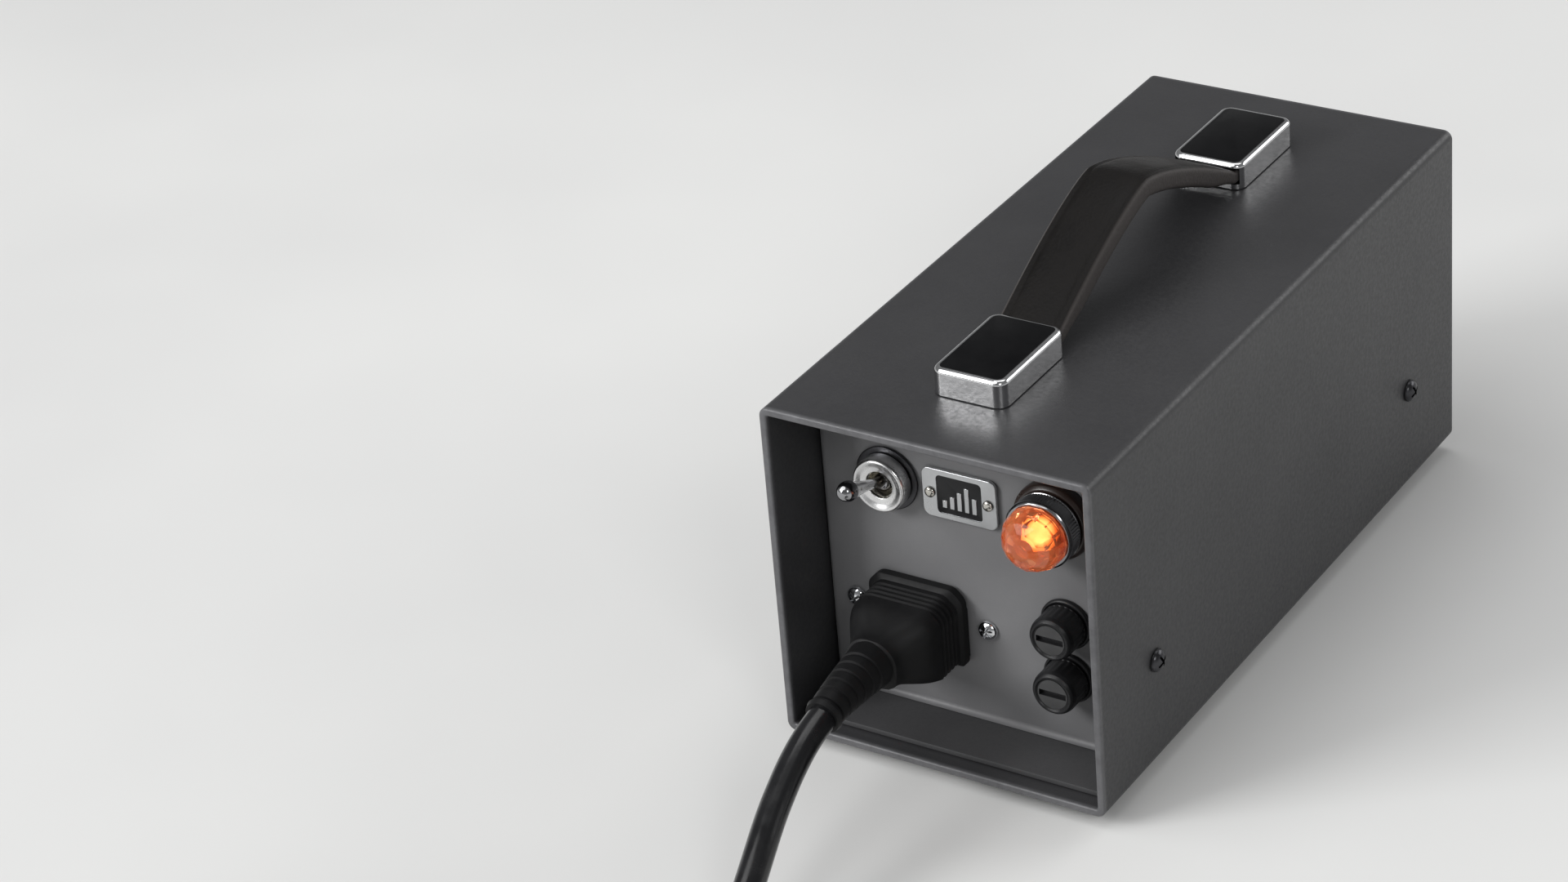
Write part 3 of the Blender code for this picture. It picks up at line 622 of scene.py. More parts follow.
def clear_glass():
    colour = (0.93, 0.96, 0.95)
    look = start_look("fuse glass", "fuse_glass", colour, 0.03, Transmission_Weight=0.95, IOR=1.48)
    haze = texture(look, "Noise", 200, Detail=3.0)
    roughen(look, haze, 0.02, 0.09)
    tint(look, haze, (0.3, (0.88, 0.93, 0.91)), (0.7, (0.97, 0.98, 0.98)))
    return look


def patterned(name, slot, colour, roughness, pattern, stops, relief=None, bands="", **sockets):
    """A look whose tone and relief both come from one texture, given as its kind, scale and inputs."""
    look = start_look(name, slot, colour, roughness, **sockets)
    kind, scale, inputs = pattern
    source = texture(look, kind, scale, **inputs)
    if bands:
        source.bands_direction = bands
    tint(look, source, *stops)
    if relief:
        bump(look, source, *relief)
    return look


CASE_PAINT = enamel(
    "case enamel", "case_paint", (0.031, 0.031, 0.033), (0.041, 0.041, 0.043), 0.40, SLEEVE_HIGH.y
)
PANEL_PAINT = enamel("panel enamel", "panel_paint", (0.165, 0.165, 0.170), (0.195, 0.195, 0.200), 0.46)
TRAY_PAINT = enamel("tray enamel", "sheet_metal", (0.050, 0.050, 0.052), (0.064, 0.064, 0.066), 0.50)
CHROME = plated("chrome", "chrome", (0.82, 0.83, 0.85), 0.07)
CAP_CHROME = plated("cap chrome", "cap_chrome", (0.80, 0.80, 0.81), 0.10)
# Chrome darkened as painted shade, standing in for the dark reflections on the bat lever and the lamp's
# knurled ring.
SHADED_CHROME = plated("chrome darkened for shade", "chrome", (0.36, 0.36, 0.37), 0.12)
SATIN = plated("satin chrome", "chrome", (0.80, 0.80, 0.80), 0.26)
ZINC = plated("zinc", "zinc_steel", (0.58, 0.59, 0.60), 0.3, brushed=True)
NICKEL = plated("nickel", "nickel", (0.62, 0.60, 0.55), 0.2)
PLATE = plated("etched aluminium", "name_plate", (0.60, 0.61, 0.62), 0.32, brushed=True)
CASTING = plated("satin nickel casting", "connector_metal", (0.40, 0.40, 0.39), 0.36, brushed=True)
BLACK_STEEL = plated("black oxide", "dark_steel", (0.07, 0.07, 0.075), 0.30)
BLACK_PLASTIC = moulded(
    "black plastic", "black_plastic", (0.007, 0.007, 0.008), (0.012, 0.012, 0.013), 0.40,
    Specular_IOR_Level=0.35,
)
GREY_PLASTIC = moulded(
    "fuse face plastic", "black_plastic", (0.035, 0.035, 0.036), (0.055, 0.055, 0.056), 0.42
)
BAKELITE = moulded(
    "lamp flange plastic", "black_plastic", (0.016, 0.009, 0.007), (0.030, 0.016, 0.012), 0.28, 700, 0.02
)
# Black for the caps' tops: a painted dark reflection of the chrome top, not a finish of its own.
CAP_TOP_REFLECTION_BLACK = moulded(
    "cap top painted reflection", "cap_chrome", (0.003, 0.003, 0.0035), (0.005, 0.005, 0.0055), 0.16, 500, 0.01,
    Specular_IOR_Level=0.12,
)
KNOB_PLASTIC = moulded("knob plastic", "knob_plastic", (0.012, 0.012, 0.013), (0.020, 0.020, 0.021), 0.34)
PVC = moulded("lead pvc", "lead_pvc", (0.007, 0.007, 0.008), (0.010, 0.010, 0.011), 0.20, 1400, 0.012)
MATTE_PVC = moulded(
    "moulded pvc", "lead_pvc", (0.006, 0.006, 0.0065), (0.009, 0.009, 0.0095), 0.50, 1400, 0.03,
    Specular_IOR_Level=0.20,
)
HOOK_TAPE = moulded("hook tape", "lead_pvc", (0.010, 0.010, 0.011), (0.022, 0.022, 0.023), 0.85, 2200, 0.25)
RUBBER = moulded("foot rubber", "foot_rubber", (0.011, 0.011, 0.011), (0.021, 0.021, 0.021), 0.72, 900, 0.08)
WHITE_INK = moulded("pointer ink", "knob_plastic", (0.62, 0.62, 0.60), (0.75, 0.75, 0.72), 0.5)
LEATHER = leather()
AMBER = amber()
LIT_BULB = glowing()
FUSE_GLASS = clear_glass()
CORE = patterned(
    "core steel", "core_steel", (0.07, 0.07, 0.075), 0.5, ("Wave", 320, {"Distortion": 0.4}),
    ((0.2, (0.025, 0.022, 0.02)), (0.7, (0.11, 0.105, 0.10))), (0.15, 0.8), "Y", metallic=0.6,
)
TAPE = patterned(
    "winding tape", "winding_tape", (0.62, 0.40, 0.06), 0.4, ("Wave", 60, {"Distortion": 0.8}),
    ((0.1, (0.42, 0.24, 0.03)), (0.6, (0.66, 0.44, 0.08))), (0.2, 0.6), "Z",
)
BOARD = patterned(
    "circuit board", "board", (0.02, 0.14, 0.06), 0.35, ("Brick", 90, {"Mortar_Size": 0.03}),
    ((0.3, (0.012, 0.10, 0.04)), (0.6, (0.05, 0.22, 0.09))), (0.05, 0.6),
)
SLEEVE_BLUE = patterned(
    "capacitor sleeve", "capacitor_sleeve", (0.03, 0.06, 0.24), 0.22,
    ("Noise", 240, {"stretch": (1, 1, 0.3), "Detail": 3.0}),
    ((0.3, (0.02, 0.045, 0.18)), (0.7, (0.04, 0.08, 0.30))), (0.08, 0.5), Coat_Weight=0.4,
)
FLOOR = patterned(
    "studio floor", "stage", (0.70, 0.70, 0.69), 0.95, ("Noise", 4, {"Detail": 3.0}),
    ((0.3, (0.66, 0.66, 0.655)), (0.7, (0.73, 0.73, 0.72))), Specular_IOR_Level=0.1,
)


# ------------------------ camera, stage and light


def camera():
    data = bpy.data.cameras.new("camera")
    data.lens = CAMERA_LENS
    data.sensor_width = 36
    data.clip_start = 0.05
    data.clip_end = 50
    aim = spin(CAMERA_AZIMUTH) @ spin(90 - CAMERA_ELEVATION, "X") @ spin(-CAMERA_ROLL)
    bpy.context.scene.camera = add_object("camera", data, at(*CAMERA_AT) @ aim)


def area_light(name, place, target, size, power):
    data = bpy.data.lights.new(name, "AREA")
    data.shape = "RECTANGLE"
    data.size, data.size_y = size
    data.energy = power
    facing = (Vector(target) - Vector(place)).to_track_quat("-Z", "Y").to_matrix().to_4x4()
    add_object(name, data, at(*place) @ facing).visible_camera = False


def lights():
    area_light("key", (-1.15, -1.45, 0.95), (0, -0.05, 0.06), (0.8, 0.6), 23)
    area_light("side", (1.0, -0.95, 0.95), (0.05, -0.08, 0.06), (0.45, 0.45), 4)
    area_light("edge", (0.95, 1.45, 0.85), (0.05, 0.0, 0.08), (1.4, 0.8), 10)
    area_light("overhead", (-0.1, 0.45, 1.35), (0, -0.02, 0.08), (1.0, 0.6), 4)
    fill = bpy.data.lights.new("fill", "SUN")
    fill.energy = 1.25
    fill.angle = math.radians(50)
    add_object("fill", fill, Vector((-0.45, -0.55, 1.0)).to_track_quat("Z", "Y").to_matrix().to_4x4())


def floor():
    shape = bmesh.new()
    bmesh.ops.create_grid(shape, x_segments=1, y_segments=1, size=8)
    mesh = bpy.data.meshes.new("floor")
    shape.to_mesh(mesh)
    shape.free()
    mesh.materials.append(FLOOR)
    add_object("floor", mesh)


def sky():
    """A pale studio sky, brightest at the horizon."""
    world = bpy.data.worlds.new("studio")
    world.use_nodes = True
    background = world.node_tree.nodes["Background"]
    set_inputs(background, Color=(0.96, 0.97, 0.98, 1))
    split = add_node(world, "SeparateXYZ")
    fade = add_node(world, "MapRange", From_Min=0.0, From_Max=0.30, To_Min=0.48, To_Max=0.20)
    wire(world, add_node(world, "TexCoord").outputs["Generated"], split.inputs["Vector"])
    wire(world, split.outputs["Z"], fade.inputs["Value"])
    wire(world, fade.outputs["Result"], background.inputs["Strength"])
    bpy.context.scene.world = world
    bpy.context.scene.view_settings.view_transform = "Standard"


# ------------------------ mains lead


def coil_points():
    """Points along the coil: it settles into one lane after another, wound round the coil's upright axis."""
    centre = middle("mains_cord_coil")
    low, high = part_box("mains_cord_coil")
    outer = (high.x - low.x) / 2 - CORD_DIAMETER / 2 - 0.05 * MM
    reach = {"outer": outer, "inner": outer - TURN_PITCH}
    points = []
    for k, (lane, layer, settled, leaves) in enumerate(COIL_LANES):
        here = Vector((reach[lane], CORD_DIAMETER / 2 + layer * TURN_PITCH))
        angles = list(range(settled, leaves + 1, COIL_STEP))
        points += [(angle, here) for angle in angles]
        if k + 1 < len(COIL_LANES):
            lane, layer, end, _ = COIL_LANES[k + 1]
            there = Vector((reach[lane], CORD_DIAMETER / 2 + layer * TURN_PITCH))
            for angle in range(angles[-1] + COIL_STEP, end, COIL_STEP):
                share = min(1.0, max(0.0, (angle - leaves) / (end - leaves)))
                ease = (1 - math.cos(math.pi * share)) / 2
                points.append((angle, here.lerp(there, ease)))
    placed = []
    for angle, (radius, height) in points:
        x, y = circle_point(radius, math.radians(angle))
        placed.append((centre.x + x, centre.y + y, height))
    return placed


def free_cord(pieces):
    """The whole free cord as one curve: the run to the coil, its turns and the tail to the plug."""
    route = CORD_ROUTE + coil_points() + TAIL_ROUTE
    data = bpy.data.curves.new("mains_lead_cord", "CURVE")
    data.dimensions = "3D"
    data.bevel_depth = CORD_DIAMETER / 2
    data.bevel_resolution = 6
    data.resolution_u = 6
    data.use_fill_caps = True
    spline = data.splines.new("BEZIER")
    spline.bezier_points.add(len(route) - 1)
    for point, place in zip(spline.bezier_points, route):
        point.co = place
        point.handle_left_type = point.handle_right_type = "AUTO"
    nodes = ("mains_cord", "mains_cord_coil", "mains_cord_tail")
    cord = show("mains_lead_cord", data, PVC, UPRIGHT, *nodes, body="mains_lead")


def cord_tie():
    """The hook-and-loop strap that holds the coil's turns together."""
    centre = middle("mains_cord_coil")
    outer = spans("mains_cord_coil")[0] / 2
    width = 2 * TURN_PITCH / MM + 1.2
    height = 3 * TURN_PITCH / MM + 1.1
    across, up = outer - width / 2 + 0.6, height / 2 - 0.5
    band = slab(rounded_outline(width, height, 4.0, 8), -4.5, 4.5)
    hole = prism(rounded_outline(width - 1.6, height - 1.4, 3.4, 8), -6, 6)
    tab = block((1.1, 11, 8.4), (width / 2 + 0.35, 1.5, 0), 0.4)
    tie = combine(combine(band, [hole]), [tab], "UNION")
    place = at(centre.x, centre.y, 0) @ spin(38) @ at(across * MM, 0, up * MM) @ TO_FRONT
    return show("cord_tie", tie, HOOK_TAPE, place, body="mains_lead")


def boot():
    """The ribbed strain relief between the connector and the cord, with a rounded ring at its end."""
    line = smooth_line(BOOT_ROUTE, 24)
    line[0] += (line[0] - line[1]).normalized() * (0.8 * MM)
    line[-1] += (line[-1] - line[-2]).normalized() * (1.2 * MM)
    ribs, ribs_from, ring_from = 6, 0.12, 0.93

    def radius(share):
        taper = (6.8 - 2.2 * share) * MM
        if share > ring_from:
            ring = (share - ring_from) / (1 - ring_from)
            return (5.35 - 0.5 * abs(2 * ring - 1) ** 3) * MM
        if share < ribs_from:
            return taper
        wave = (share - ribs_from) / (ring_from - ribs_from) * ribs % 1
        return taper - (0.55 * MM if 0.62 < wave < 0.92 else 0.0)

    return show("strain_relief", sweep(line, radius), MATTE_PVC, UPRIGHT, "lead_boot", body="mains_lead")


def lead_connector():
    """The moulded connector: nose with three contact slots, collar, grooved grip and tapering tail."""
    # Each row is an outline's width, height and chamfer, its height above the panel, and its shift along Y
    rows = [
        (23.4, 15.6, 4.0, -16.4, 0), (24, 16.2, 4.0, -15.9, 0), (24, 16.2, 4.0, 0.6, 0),
        (27.6, 22.2, 3.2, 0.6, 0), (28.4, 23, 3.2, 1.0, 0), (28.4, 23, 3.2, 3.2, 0),
        (27.6, 22.2, 3.4, 3.7, 0), (26.6, 20.8, 3.6, 4.2, 0),
    ]
    for groove in range(4):
        z = 5.6 + 1.9 * groove
        for rise, inset in ((0, 0), (0.25, 0.55), (0.7, 0.7), (1.15, 0.55), (1.4, 0)):
            rows.append((26.4 - 2 * inset, 20.6 - 2 * inset, 3.6, z + rise, 0))
    tail = 13.4
    for step in range(13):
        t = step / 12
        fall = t * t * (3 - 2 * t)
        rows.append((26.0 - 11.0 * fall, 20.4 - 6.2 * fall, 3.6 + 0.4 * fall, tail + 13.0 * t, -0.4 * t))
    rows += [(14.2, 13.4, 4.0, 26.9, -0.4), (13.2, 12.6, 3.8, 27.0, -0.4)]
    sections = []
    for width, height, chamfer, z, shift in rows:
        softness = 1.6 + 5.4 * max(0.0, (z - tail) / 13.6) ** 0.7
        sections.append(raised(inlet_outline(width, height, chamfer, softness), z, shift))
    centre = middle("mains_inlet")
    slots = []
    for name in ("earth", "live", "neutral"):
        pin = (middle(f"inlet_pin_{name}") - centre) / MM
        slots.append(block((2.6, 4.6, 16), (pin.x, pin.z, -10.2)))
    body = combine(loft(sections, angle=32), slots, angle=32)
    place = on_front("mains_inlet")
    return show("lead_connector_body", body, MATTE_PVC, place, "lead_connector", body="mains_lead")


def plug():
    """The round earthed plug: body with grip flats, earth clips, earth hole, face and two pins."""
    low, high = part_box("mains_plug")
    place = at(low.x - 0.5 * MM, (low.y + high.y) / 2, (low.z + high.z) / 2) @ TO_RIGHT
    pin_offset = 9.5
    profile = [(0, 54), (16.9, 54), (18.45, 52.6), (18.45, 42.5), (17.2, 39.5), (16.4, 37.5), (16.0, 31)]
    profile += [(14.6, 26.6), (11.0, 22.6), (7.4, 20.2), (6.6, 17), (5.2, -0.6), (0, -0.6)]
    grip = fluted(0.5, 16 / 3, 27, 38, start=0.5)
    tools = [block((5, 6.6, 17), (side * 18.4, 0, 47)) for side in (-1, 1)]
    tools.append((lathe([(0, 60), (2.5, 60), (2.5, 38), (0, 38)], 0, 32), at(-8.5 * MM, 0, 0)))
    for side in (-1, 1):
        hole = lathe([(0, 60), (2.7, 60), (2.7, 46), (0, 46)], 0, 32)
        tools.append((hole, at(0, side * pin_offset * MM, 0)))
    body = combine(lathe(profile, 1.0, 96, ripple=grip), tools, angle=35)
    pieces = [show("plug_body", body, MATTE_PVC, place, "mains_plug", body="mains_lead")]
    clips = [(block((0.7, 5.4, 15.5), (side * 16.6, 0, 46.6), 0.25),) for side in (-1, 1)]
    bumps = [(block((1.2, 4.2, 3.0), (side * 17.0, 0, 49), 0.5, 3),) for side in (-1, 1)]
    pieces.append(show("plug_earth_clips", merge(*clips, *bumps), NICKEL, place, body="mains_lead"))
    pin = [(0, 73), (1.4, 72.8), (2.1, 72.0), (2.4, 70.6), (2.4, 46.4), (0, 46.4)]
    for name, side in (("left", 1), ("right", -1)):
        spot = place @ at(0, side * pin_offset * MM, 0)
        mesh = lathe(pin, 0.4, 32)
        pieces.append(show(f"plug_contact_{name}", mesh, NICKEL, spot, f"plug_pin_{name}", body="mains_lead"))
    return pieces


# ------------------------ case


def sleeve():
    """The seamless case: a rounded rectangular tube whose rims are rolled smooth."""
    width, length, height = spans("case_sleeve")
    centre = middle("case_sleeve")
    half, ease = length / 2, 0.6
    arc = [(ease * (1 - math.sin(t)), ease * (1 - math.cos(t))) for t in quarter(4)]
    rim = arc[::-1] + [(WALL - inset, y) for inset, y in arc]
    profile = [(inset, -half + y) for inset, y in rim] + [(inset, half - y) for inset, y in reversed(rim)]
    sections = []
    for inset, y in profile:
        outline = rounded_outline(width - 2 * inset, height - 2 * inset, max(0.7, 2.6 - inset), 8)
        sections.append([(centre.x + x * MM, centre.y + y * MM, centre.z + z * MM) for x, z in outline])
    weigh(show("case_shell", loft(sections, closed=True), CASE_PAINT, UPRIGHT, "case_sleeve"))


def tray():
    width, length, height = spans("chassis_tray")
    centre = middle("chassis_tray")
    sides = []
    for side in (-1, 1):
        spot = (side * (width - SHEET) / 2, 0, (height - SHEET) / 2 + 0.1)
        sides.append(block((SHEET, length - 70, height - 0.2), spot))
    mesh = combine(block((width, length, SHEET), soft=0.35), sides, "UNION")
    place = at(centre.x, centre.y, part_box("chassis_tray")[0].z + SHEET / 2 * MM)
    weigh(show("tray_floor", mesh, TRAY_PAINT, place, "chassis_tray"))


def bent_panel(name, node, place, holes):
    """A sheet bent into a shallow U. Its face is at height 0 of its place and its returns run behind it."""
    width, depth, height = spans(node)
    half, bend = width / 2, 2.0
    outside = [(-half, -depth), (-half, 0), (half, 0), (half, -depth)]
    inside = [(half - SHEET, -depth), (half - SHEET, -SHEET), (SHEET - half, -SHEET), (SHEET - half, -depth)]
    line = eased(outside, bend, 8) + eased(inside, bend - SHEET + 0.2, 4)
    sections = [[(p.x * MM, y * MM, p.y * MM) for p in line] for y in (-height / 2, height / 2)]
    weigh(show(name, combine(loft(sections), holes), PANEL_PAINT, place, node))


def round_hole(radius, place):
    return lathe([(0, 4), (radius, 4), (radius, -4), (0, -4)], 0, 48), place


def front_panel():
    place = on_front("front_panel")
    inverse = place.inverted()
    radii = {"switch_nut": 5.4, "lamp_bezel": 7.4, "fuse_cap_upper": 6.5, "fuse_cap_lower": 6.5}
    radii |= {"inlet_screw_left": 1.8, "inlet_screw_right": 1.8}
    holes = [round_hole(radius, inverse @ on_front(node)) for node, radius in radii.items()]
    holes.append((prism(inlet_outline(27.6, 20.2, 5.0, 0.6), -4, 4), inverse @ on_front("mains_inlet")))
    bent_panel("control_panel", "front_panel", place, holes)
    # The small fold along its foot
    low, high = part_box("front_panel")
    reach, base = 1.5, low.z / MM - 0.2
    upper = [(-reach * (1 - math.sin(t)), reach * (1 - math.cos(t))) for t in quarter(8)]
    fold = [(y - 0.05, z + 0.05) for y, z in upper] + [(0.2, reach), (0.2, 0), (-reach, 0)]
    ends = (low.x + 2.3 * MM, high.x - 2.3 * MM)
    sections = [[(x, FRONT_FACE + y * MM, (base + z) * MM) for y, z in fold] for x in ends]
    show("control_panel_fold", loft(sections, angle=30), PANEL_PAINT, UPRIGHT)


def rear_panel():
    place = on_rear("rear_panel")
    inverse = place.inverted()
    radii = {"input_insert": 12.2, "output_insert": 12.2, "level_control": 4.9}
    holes = [round_hole(radius, inverse @ on_rear(node)) for node, radius in radii.items()]
    holes.append((block((7.6, 4.2, 8)), inverse @ on_rear("input_latch")))
    bent_panel("connector_panel", "rear_panel", place, holes)


def dome(radius, height, base, shank, reach):
    """A dome head over a shank, as a turned profile."""
    arc = [(radius * math.sin(t), base + height * math.cos(t)) for t in quarter(8)]
    return arc + [(radius * 0.98, base), (shank, base), (shank, -reach), (0, -reach)]


def screw(radius, height, base=GAP, shank=1.5, reach=6.0):
    """A dome-headed screw with a cross recess."""
    head = lathe(dome(radius, height, base, shank, reach), 0, 40)
    long, narrow = radius * 1.25, radius * 0.24
    arms = [block((x, y, height * 0.95), (0, 0, base + height)) for x, y in ((long, narrow), (narrow, long))]
    return combine(head, arms, angle=35)


def fasteners():
    foot = [(0, 3.7), (7, 3.7), (7, 3.0), (6.3, 0.6), (5.7, 0), (3.4, 0), (3.0, 0.5), (0, 0.5)]
    for end in ("front", "rear"):
        for hand, side, turn in (("right", SLEEVE_HIGH.x, TO_RIGHT), ("left", SLEEVE_LOW.x, TO_LEFT)):
            node = f"side_screw_{end}_{hand}"
            centre = middle(node)
            place = at(side, centre.y, centre.z) @ turn @ spin(25)
            show(f"{node}_head", screw(3.2, 2.0), BLACK_STEEL, place, node)
            node = f"foot_{end}_{hand}"
            centre = middle(node)
            show(f"{node}_pad", lathe(foot, 0.35, 48), RUBBER, at(centre.x, centre.y, 0), node)
        paint_node(f"handle_screw_{end}", ZINC)


def strap_line():
    """The middle line of the strap and its thickness along the way, from its CAD node's height and length."""
    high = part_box("handle_strap")[1]
    base = SLEEVE_HIGH.z + STRAP_STRAIGHT * MM
    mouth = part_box("handle_cap_rear")[0].y - GAP * MM
    steps = 44
    line, thickness = [], []
    for k in range(-steps, steps + 1):
        y = high.y * math.sin(math.pi / 2 * k / steps)
        bow = (high.z - base) * (1 - (abs(y) / mouth) ** STRAP_BOW) if abs(y) < mouth else 0.0
        grown = min(1.0, max(0.0, (mouth - abs(y)) / (STRAP_GROWTH * MM)))
        thickness.append(STRAP_THICK + STRAP_SWELL * grown * grown * (3 - 2 * grown))
        line.append(Vector((0, y, base + bow - thickness[-1] * MM / 2)))
    return line, thickness


def strap_section():
    """Half-round edges, a slightly crowned face and a pressed line near each edge, in millimetres."""
    outline = rounded_outline(STRAP_WIDTH, STRAP_THICK, 1.3, 5)
    dense = []
    for (x, y), (nx, ny) in zip(outline, outline[1:] + outline[:1]):
        pieces = 22 if abs(nx - x) > 4 else 1
        dense += [(x + (nx - x) * s / pieces, y + (ny - y) * s / pieces) for s in range(pieces)]
    shaped = []
    for x, y in dense:
        crown = 0.35 * (1 - (2 * x / STRAP_WIDTH) ** 2)
        line = 0.32 * math.exp(-(((abs(x) - 7.2) / 0.42) ** 2))
        side = math.copysign(1, y) if abs(y) > STRAP_THICK / 2 - 0.4 else 0
        shaped.append((x, y + side * (crown - line - 0.18)))
    return shaped


def handle():
    """The strap, and at each end a chromed cap with a black top piece: a painted dark reflection over the
    chrome.
    """
    line, thickness = strap_line()
    section = strap_section()
    sections = []
    for k, (point, thick) in enumerate(zip(line, thickness)):
        up = Vector((1, 0, 0)).cross(heading(line, k)) * (thick / STRAP_THICK)
        sections.append([point + Vector((x * MM, 0, 0)) + up * (y * MM) for x, y in section])
    show("strap", loft(sections, angle=50), LEATHER, UPRIGHT, "handle_strap")
    for node, turn in (("handle_cap_front", spin(180)), ("handle_cap_rear", UPRIGHT)):
        width, length, height = spans(node)
        centre = middle(node)
        place = at(centre.x, centre.y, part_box(node)[0].z) @ turn
        weigh(show(f"{node}_cover", cap_body(width, length, height), CAP_CHROME, place, node))
        # The black top piece paints in the dark reflection of the chrome top.
        painted_reflection_top = slab(rounded_outline(width - 3.0, length - 3.0, 1.9), height - 0.5, height + 0.1, 0.15)
        show(f"{node}_inlay", painted_reflection_top, CAP_TOP_REFLECTION_BLACK, place)


def cap_body(width, length, height):
    """A strap cap with rolled edges. Its mouth, for the strap, is on the -Y side of its own frame."""
    edge, corner = 1.3, 3.2
    sections = [raised(rounded_outline(width, length, corner, 8), 0)]
    for t in quarter(6):
        inset, z = edge * (1 - math.cos(t)), height - edge + edge * math.sin(t)
        outline = rounded_outline(width - 2 * inset, length - 2 * inset, max(0.6, corner - inset), 8)
        sections.append(raised(outline, z))
    mouth = block((STRAP_WIDTH + 0.7, 24, STRAP_THICK + 0.9), (0, 7.5 - length / 2, 3.9))
    recess = prism(rounded_outline(width - 2.9, length - 2.9, 1.95), height - 0.6, height + 2)
    return combine(loft(sections), [mouth, recess], angle=32)


# ------------------------ front panel


def power_switch():
    """A toggle switch: housing with terminals, threaded bushing, washer, dress nut and bat lever."""
    place = on_front("switch_nut")
    terminals = [(block((1.2, 5, 7), (x, y, -25), 0.2), UPRIGHT, 1) for x in (-4, 4) for y in (-8, 0, 8)]
    thread = [(0, 4.2), (4.7, 4.2)]
    thread += [point for k in range(7) for point in ((5.0, 3.8 - k * 0.8), (4.75, 3.4 - k * 0.8))]
    thread += [(4.9, -2.0), (0, -2.0)]
    bore = lathe([(0, 6), (4.1, 6), (3.6, 3.6), (3.6, -1.4), (0, -1.4)], 0, 48)
    bushing = combine(lathe(thread, 0, 48), [bore])
    body = merge((block((15, 26, 20), (0, 0, -12.2), 0.8),), (bushing, UPRIGHT, 1), *terminals)
    show("switch_housing", body, BLACK_PLASTIC, place, "switch_body", looks=(NICKEL,))
    washer = [(5.4, 1.2), (9.2, 1.2), (9.2, 0.3), (5.4, 0.3)]
    show("switch_lock_washer", lathe(washer, 0.3, ring=True), BLACK_STEEL, place, "switch_washer")
    nut = [(5.2, 4.5), (3.9, 4.5), (3.9, 4.9), (5.4, 5.1), (6.6, 5.7), (7.2, 5.85), (7.75, 5.2)]
    nut += [(7.75, 1.5), (5.2, 1.5)]
    show("switch_dress_nut", lathe(nut, 0.4, 96, ring=True), SATIN, place, "switch_nut")
    bat = [(0, 21.9), (1.5, 21.45), (2.4, 20.3), (2.8, 18.6), (2.55, 16.8), (1.95, 14.0), (1.5, 10.0)]
    bat += [(1.35, 6.5), (1.4, 3.0), (2.2, 1.6), (2.6, 0), (2.2, -1.3), (0, -2.0)]
    profile = [(max(0.0, p.x), p.y) for p in smooth_line(bat, 5)]
    profile[0], profile[-1] = (0, profile[0][1]), (0, profile[-1][1])
    lever = place @ at(0, 0, 2 * MM) @ spin(-19.5, "X")
    # The bat lever uses chrome darkened as painted shade.
    show("switch_bat_lever", lathe(profile, 0, 48), SHADED_CHROME, lever, "switch_lever", body="switch_lever")


def name_plate():
    """A plain plate: raised border, blackened field and a row of level bars."""
    place = on_front("name_plate")
    rivets = {}
    for node in ("name_plate_rivet_left", "name_plate_rivet_right"):
        rivets[node] = at(middle(node).x - middle("name_plate").x, 0, 0)
    plate = slab(rounded_outline(22, 14.5, 2.2, 8), 0.3, 1.4, 0.25)
    field = prism(rounded_outline(13.4, 11.3, 1.2), 1.12, 3)
    plate = combine(plate, [field, *(round_hole(1.1, spot) for spot in rivets.values())])
    weigh(show("badge_plate", plate, PLATE, place, "name_plate"))
    show("badge_field", slab(rounded_outline(13.3, 11.2, 1.15), 1.0, 1.17, 0.02, 1), BLACK_PLASTIC, place)
    bars = []
    for k, height in enumerate((2.2, 3.6, 5.4, 7.2, 4.6)):
        bars.append((block((1.3, height, 0.3), ((k - 2) * 2.2, height / 2 - 3.8, 1.27), 0.08, 1),))
    show("badge_bars", merge(*bars), PLATE, place)
    for node, spot in rivets.items():
        mesh = lathe(dome(1.5, 0.7, 0.3, 0.8, 4.0), 0, 32)
        show(f"{node}_dome", mesh, NICKEL, place @ spot @ at(0, 0, 1.4 * MM), node)


def pilot_lamp():
    """A moulded flange, a knurled ring that holds the jewel, and the bulb behind them."""
    place = on_front("lamp_bezel")
    flange = [(7.4, 3.0), (8.4, 3.0), (8.6, 3.8), (9.9, 3.8), (10.9, 2.9), (11.1, 2.0), (11.1, 0.3)]
    flange.append((7.4, 0.3))
    show("lamp_base_ring", lathe(flange, 0.3, 96, ring=True), BAKELITE, place, "lamp_flange")
    bezel = [(7.7, 9.4), (8.1, 10.0), (9.1, 10.0), (9.7, 9.4), (9.7, 8.5), (9.7, 5.1), (9.7, 4.6)]
    bezel += [(9.3, 4.1), (7.7, 4.1)]
    knurl = fluted(0.22, 2, 5.0, 8.6, 9.6)
    mesh = lathe(bezel, 0.12, 144, ring=True, ripple=knurl, angle=50)
    # The ring uses chrome darkened as painted shade.
    show("lamp_lens_ring", mesh, SHADED_CHROME, place, "lamp_bezel", body="lamp_lens")
    show("lamp_lens_jewel", jewel(), AMBER, place, "lamp_jewel", body="lamp_lens")
    bulb = [(0, 13.8), (1.4, 13.5), (2.8, 12.5), (3.9, 10.7), (4.2, 8.8), (3.9, 6.4), (3.4, 4.0)]
    bulb += [(3.3, 1.5), (3.3, 1.0), (0, 1.0)]
    glass = show("lamp_bulb_glass", lathe(bulb, 0.6, 40), LIT_BULB, place, "lamp_bulb")
    glass.visible_diffuse = glass.visible_glossy = False
    base = [(0, 0.8), (4.2, 0.8), (4.6, 0.2)]
    base += [point for k in range(9) for point in ((4.6, -0.6 - k * 1.5), (4.3, -1.3 - k * 1.5))]
    base += [(4.5, -14.5), (2.0, -15.6), (1.6, -17), (0, -17)]
    show("lamp_bulb_base", lathe(base, 0.2, 40), NICKEL, place)


